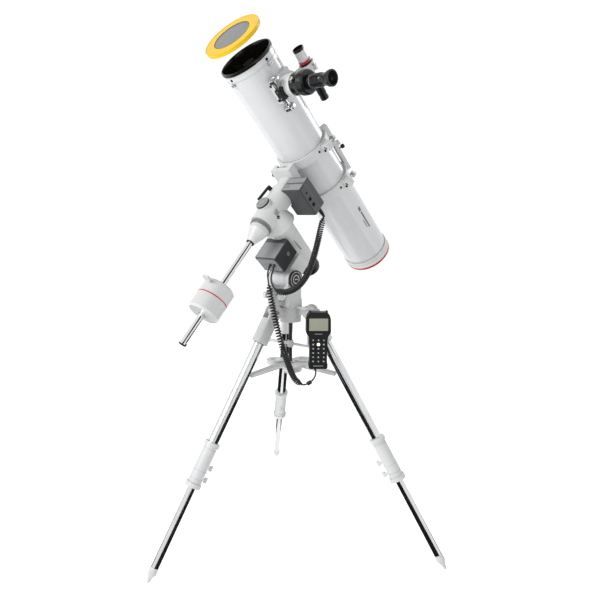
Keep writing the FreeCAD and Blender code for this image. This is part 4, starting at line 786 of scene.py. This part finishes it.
# ---------------------------------------------------------------- finder
finder_turn, FINDER_REACH = math.radians(61), 143
FINDER = TUBE @ Matrix.Translation((FINDER_REACH * math.cos(finder_turn),
                                    FINDER_REACH * math.sin(finder_turn), 0))
build("finder_body", [lathe([(0, 168), (15, 168), (15, 246), (16.5, 248), (17.0, 262), (17.0, 291),
                             (16.3, 292), (15.4, 292), (14.6, 283.5), (0, 283.5)], steps=72)], FINDER, "tube",
      PAINT, ["finder_scope"])
build("finder_objective_lip", [lathe([(16.9, 288), (17.3, 289), (17.5, 295), (16.6, 296.4), (15.2, 296),
                                      (14.4, 285), (16.4, 285)], steps=72)], FINDER, "tube", BLACK_METAL)
build("finder_objective", [lathe([(0, 284), (14.4, 284), (10, 286.2), (0, 287.4)], steps=56)], FINDER, "tube",
      GLASS)
build("finder_red_ring", [lathe([(16, 250), (18.6, 250), (19.2, 251), (19.2, 256), (18.6, 257), (16, 257)],
                                steps=72)], FINDER, "tube", RED)
ring_ribs = [(16, 242.5)]
for i in range(3):
    ring_ribs += [(19.6, 243 + 2.4 * i), (19.6, 244.5 + 2.4 * i), (18.8, 244.9 + 2.4 * i)]
ring_ribs += [(16, 250)]
build("finder_lock_ring", [lathe(ring_ribs, steps=72)], FINDER, "tube", BLACK_METAL)
eye_end = [(0, 121), (8.5, 121), (9, 118.6), (12.6, 118.4), (13.4, 120), (13.4, 128), (12.6, 130),
           (12.6, 138)]
for i in range(5):
    low = 139 + i * 3.2
    eye_end += [(13.4, low), (13.4, low + 1.8), (12.7, low + 2.2), (12.7, low + 3.0)]
eye_end += [(14.2, 156), (15.2, 160), (15.2, 168.4), (0, 168.4)]
build("finder_eyepiece", [lathe(eye_end, steps=64)], FINDER, "tube", BLACK_METAL)
adjusters = []
for low in (226, 238):
    for turn in (-72, 72):
        angle = finder_turn + math.radians(turn)
        direction = (math.cos(angle), math.sin(angle), 0)
        adjusters.append(lathe([(0, 0), (1.9, 0), (1.9, 8), (4.6, 9), (5, 10), (5, 15), (4.4, 16), (0, 16)],
                               at(direction[0] * 22, direction[1] * 22, low, direction), 40, 10, 0.5))
build("finder_adjusters", adjusters, FINDER, "tube", SILVER)

# ---------------------------------------------------------------- solar filter
FILTER_HEADING, FILTER_LIFT, FILTER_SWING = math.radians(48), math.radians(4.6), 823
filter_axis = Vector((math.cos(FILTER_HEADING), math.sin(FILTER_HEADING), 0))
seat = TUBE_FRONT + RIM_LENGTH + 0.8
swing_centre = Vector((0, 0, seat)) + filter_axis.cross(up) * FILTER_SWING
FILTER = (TUBE @ Matrix.Translation(swing_centre) @ Matrix.Rotation(FILTER_LIFT, 4, filter_axis)
          @ Matrix.Translation(-swing_centre))

# The film is a disc of rings and spokes, slightly waved and flat at its edge.
RINGS, SPOKES, FILM_RADIUS, FILM_HEIGHT = 14, 72, 56.4, 2.3
film = bmesh.new()
for ring in range(RINGS + 1):
    radius = FILM_RADIUS * ring / RINGS
    for i in range(SPOKES if ring else 1):
        angle = math.tau * i / SPOKES
        x, y = radius * math.cos(angle), radius * math.sin(angle)
        wave = 0.12 * math.sin(x / 9 + 0.7 * math.sin(y / 13)) + 0.10 * math.sin(y / 7 + x / 21)
        film.verts.new((x, y, seat + FILM_HEIGHT + wave * (1 - (ring / RINGS) ** 4)))
film.verts.ensure_lookup_table()
for ring in range(RINGS):
    for i in range(SPOKES):
        k = (i + 1) % SPOKES
        inner = [0, 0] if ring == 0 else [1 + (ring - 1) * SPOKES + j for j in (i, k)]
        outer = [1 + ring * SPOKES + j for j in (i, k)]
        corners = list(dict.fromkeys([inner[0], outer[0], outer[1], inner[1]]))
        film.faces.new([film.verts[j] for j in corners])
build("filter_film", [film], FILTER, "solar_filter", FILM)
build("filter_inner_edge", [lathe([(54.6, seat + 0.6), (56.8, seat + 0.6), (56.8, seat + 3.3),
                                   (56.2, seat + 3.6), (54.8, seat + 2.6)], steps=120)], FILTER,
      "solar_filter", AMBER)
build("filter_rim_bead", [lathe([(83.6, seat + 2.4), (85.6, seat + 2.0), (85.9, seat + 3.2),
                                 (84.8, seat + 4.0), (83.2, seat + 3.6)], steps=120)], FILTER, "solar_filter",
      YELLOW)

# ---------------------------------------------------------------- floor and light
def sheet(name, width, height, look):
    """A flat sheet centred on its origin."""
    data = bpy.data.meshes.new(name)
    corners = [(x * width / 2, y * height / 2, 0) for x, y in ((-1, -1), (1, -1), (1, 1), (-1, 1))]
    data.from_pydata(corners, [], [(0, 1, 2, 3)])
    data.materials.append(look)
    made = bpy.data.objects.new(name, data)
    scene.collection.objects.link(made)
    return made


FLOOR_WIDTH, BELOW_THE_FEET = 120, 0.0004
FLOOR_LOOK = material("floor", grey(0.90), grey(0.89), (0.7, 0.8), 60, 0.02, specular=0.1, glow=0.58)
floor = sheet("floor", FLOOR_WIDTH, FLOOR_WIDTH, FLOOR_LOOK)
floor.location.z = -BELOW_THE_FEET


def card(name, x, y, z, width, height, toward, shade=0.015):
    """A dark studio card, facing a point, that only reflections see."""
    look = material(name, grey(shade), grey(shade * 0.9), (0.9, 0.95), 20, 0.0, specular=0.0)
    made = sheet(name, width, height, look)
    made.location = (x, y, z)
    made.rotation_euler = (Vector(toward) - Vector((x, y, z))).to_track_quat("Z", "Y").to_euler()
    made.visible_camera = made.visible_diffuse = made.visible_shadow = made.visible_transmission = False


card("card_floor", 0, -1.8, 0.0005, 3.6, 3.4, (0, -1.8, 2))
card("card_floor_right", 0.9, 0.5, 0.0005, 1.6, 1.2, (0.9, 0.5, 2))
card("card_floor_left", -1.0, 0.5, 0.0005, 1.6, 1.2, (-1.0, 0.5, 2))
card("card_front", -0.15, -3.4, 1.25, 0.30, 2.3, (-0.15, 0, 1.0))
card("card_high", 0.65, -1.7, 2.1, 1.6, 1.6, (-0.3, -0.25, 0.85))


def lamp(name, x, y, z, size, power, toward=(0, 0, 0.9)):
    """A square area lamp facing a point."""
    data = bpy.data.lights.new(name, "AREA")
    data.shape, data.size, data.energy = "SQUARE", size, power
    made = bpy.data.objects.new(name, data)
    made.location = (x, y, z)
    made.rotation_euler = (Vector((x, y, z)) - Vector(toward)).to_track_quat("Z", "Y").to_euler()
    scene.collection.objects.link(made)


lamp("key", -2.6, -2.0, 2.4, 1.6, 82)
lamp("rim", 2.4, 1.4, 2.6, 1.4, 26)

# The world lights the piece softly, and is brighter to the camera and in reflections.
world = bpy.data.worlds.new("studio")
world.use_nodes = True
world_nodes, world_links = world.node_tree.nodes, world.node_tree.links
ambient = world_nodes["Background"]
ambient.inputs["Strength"].default_value = 0.52
backdrop = world_nodes.new("ShaderNodeBackground")
backdrop.inputs["Strength"].default_value = 1.1
rays, choose = world_nodes.new("ShaderNodeLightPath"), world_nodes.new("ShaderNodeMixShader")
for background in (ambient, backdrop):
    background.inputs["Color"].default_value = (1, 1, 1, 1)
seen = world_nodes.new("ShaderNodeMath")
seen.operation = "MAXIMUM"
world_links.new(rays.outputs["Is Camera Ray"], seen.inputs[0])
world_links.new(rays.outputs["Is Glossy Ray"], seen.inputs[1])
world_links.new(seen.outputs[0], choose.inputs["Fac"])
world_links.new(ambient.outputs[0], choose.inputs[1])
world_links.new(backdrop.outputs[0], choose.inputs[2])
world_links.new(choose.outputs[0], world_nodes["World Output"].inputs["Surface"])
scene.world = world
scene.view_settings.view_transform = "Standard"
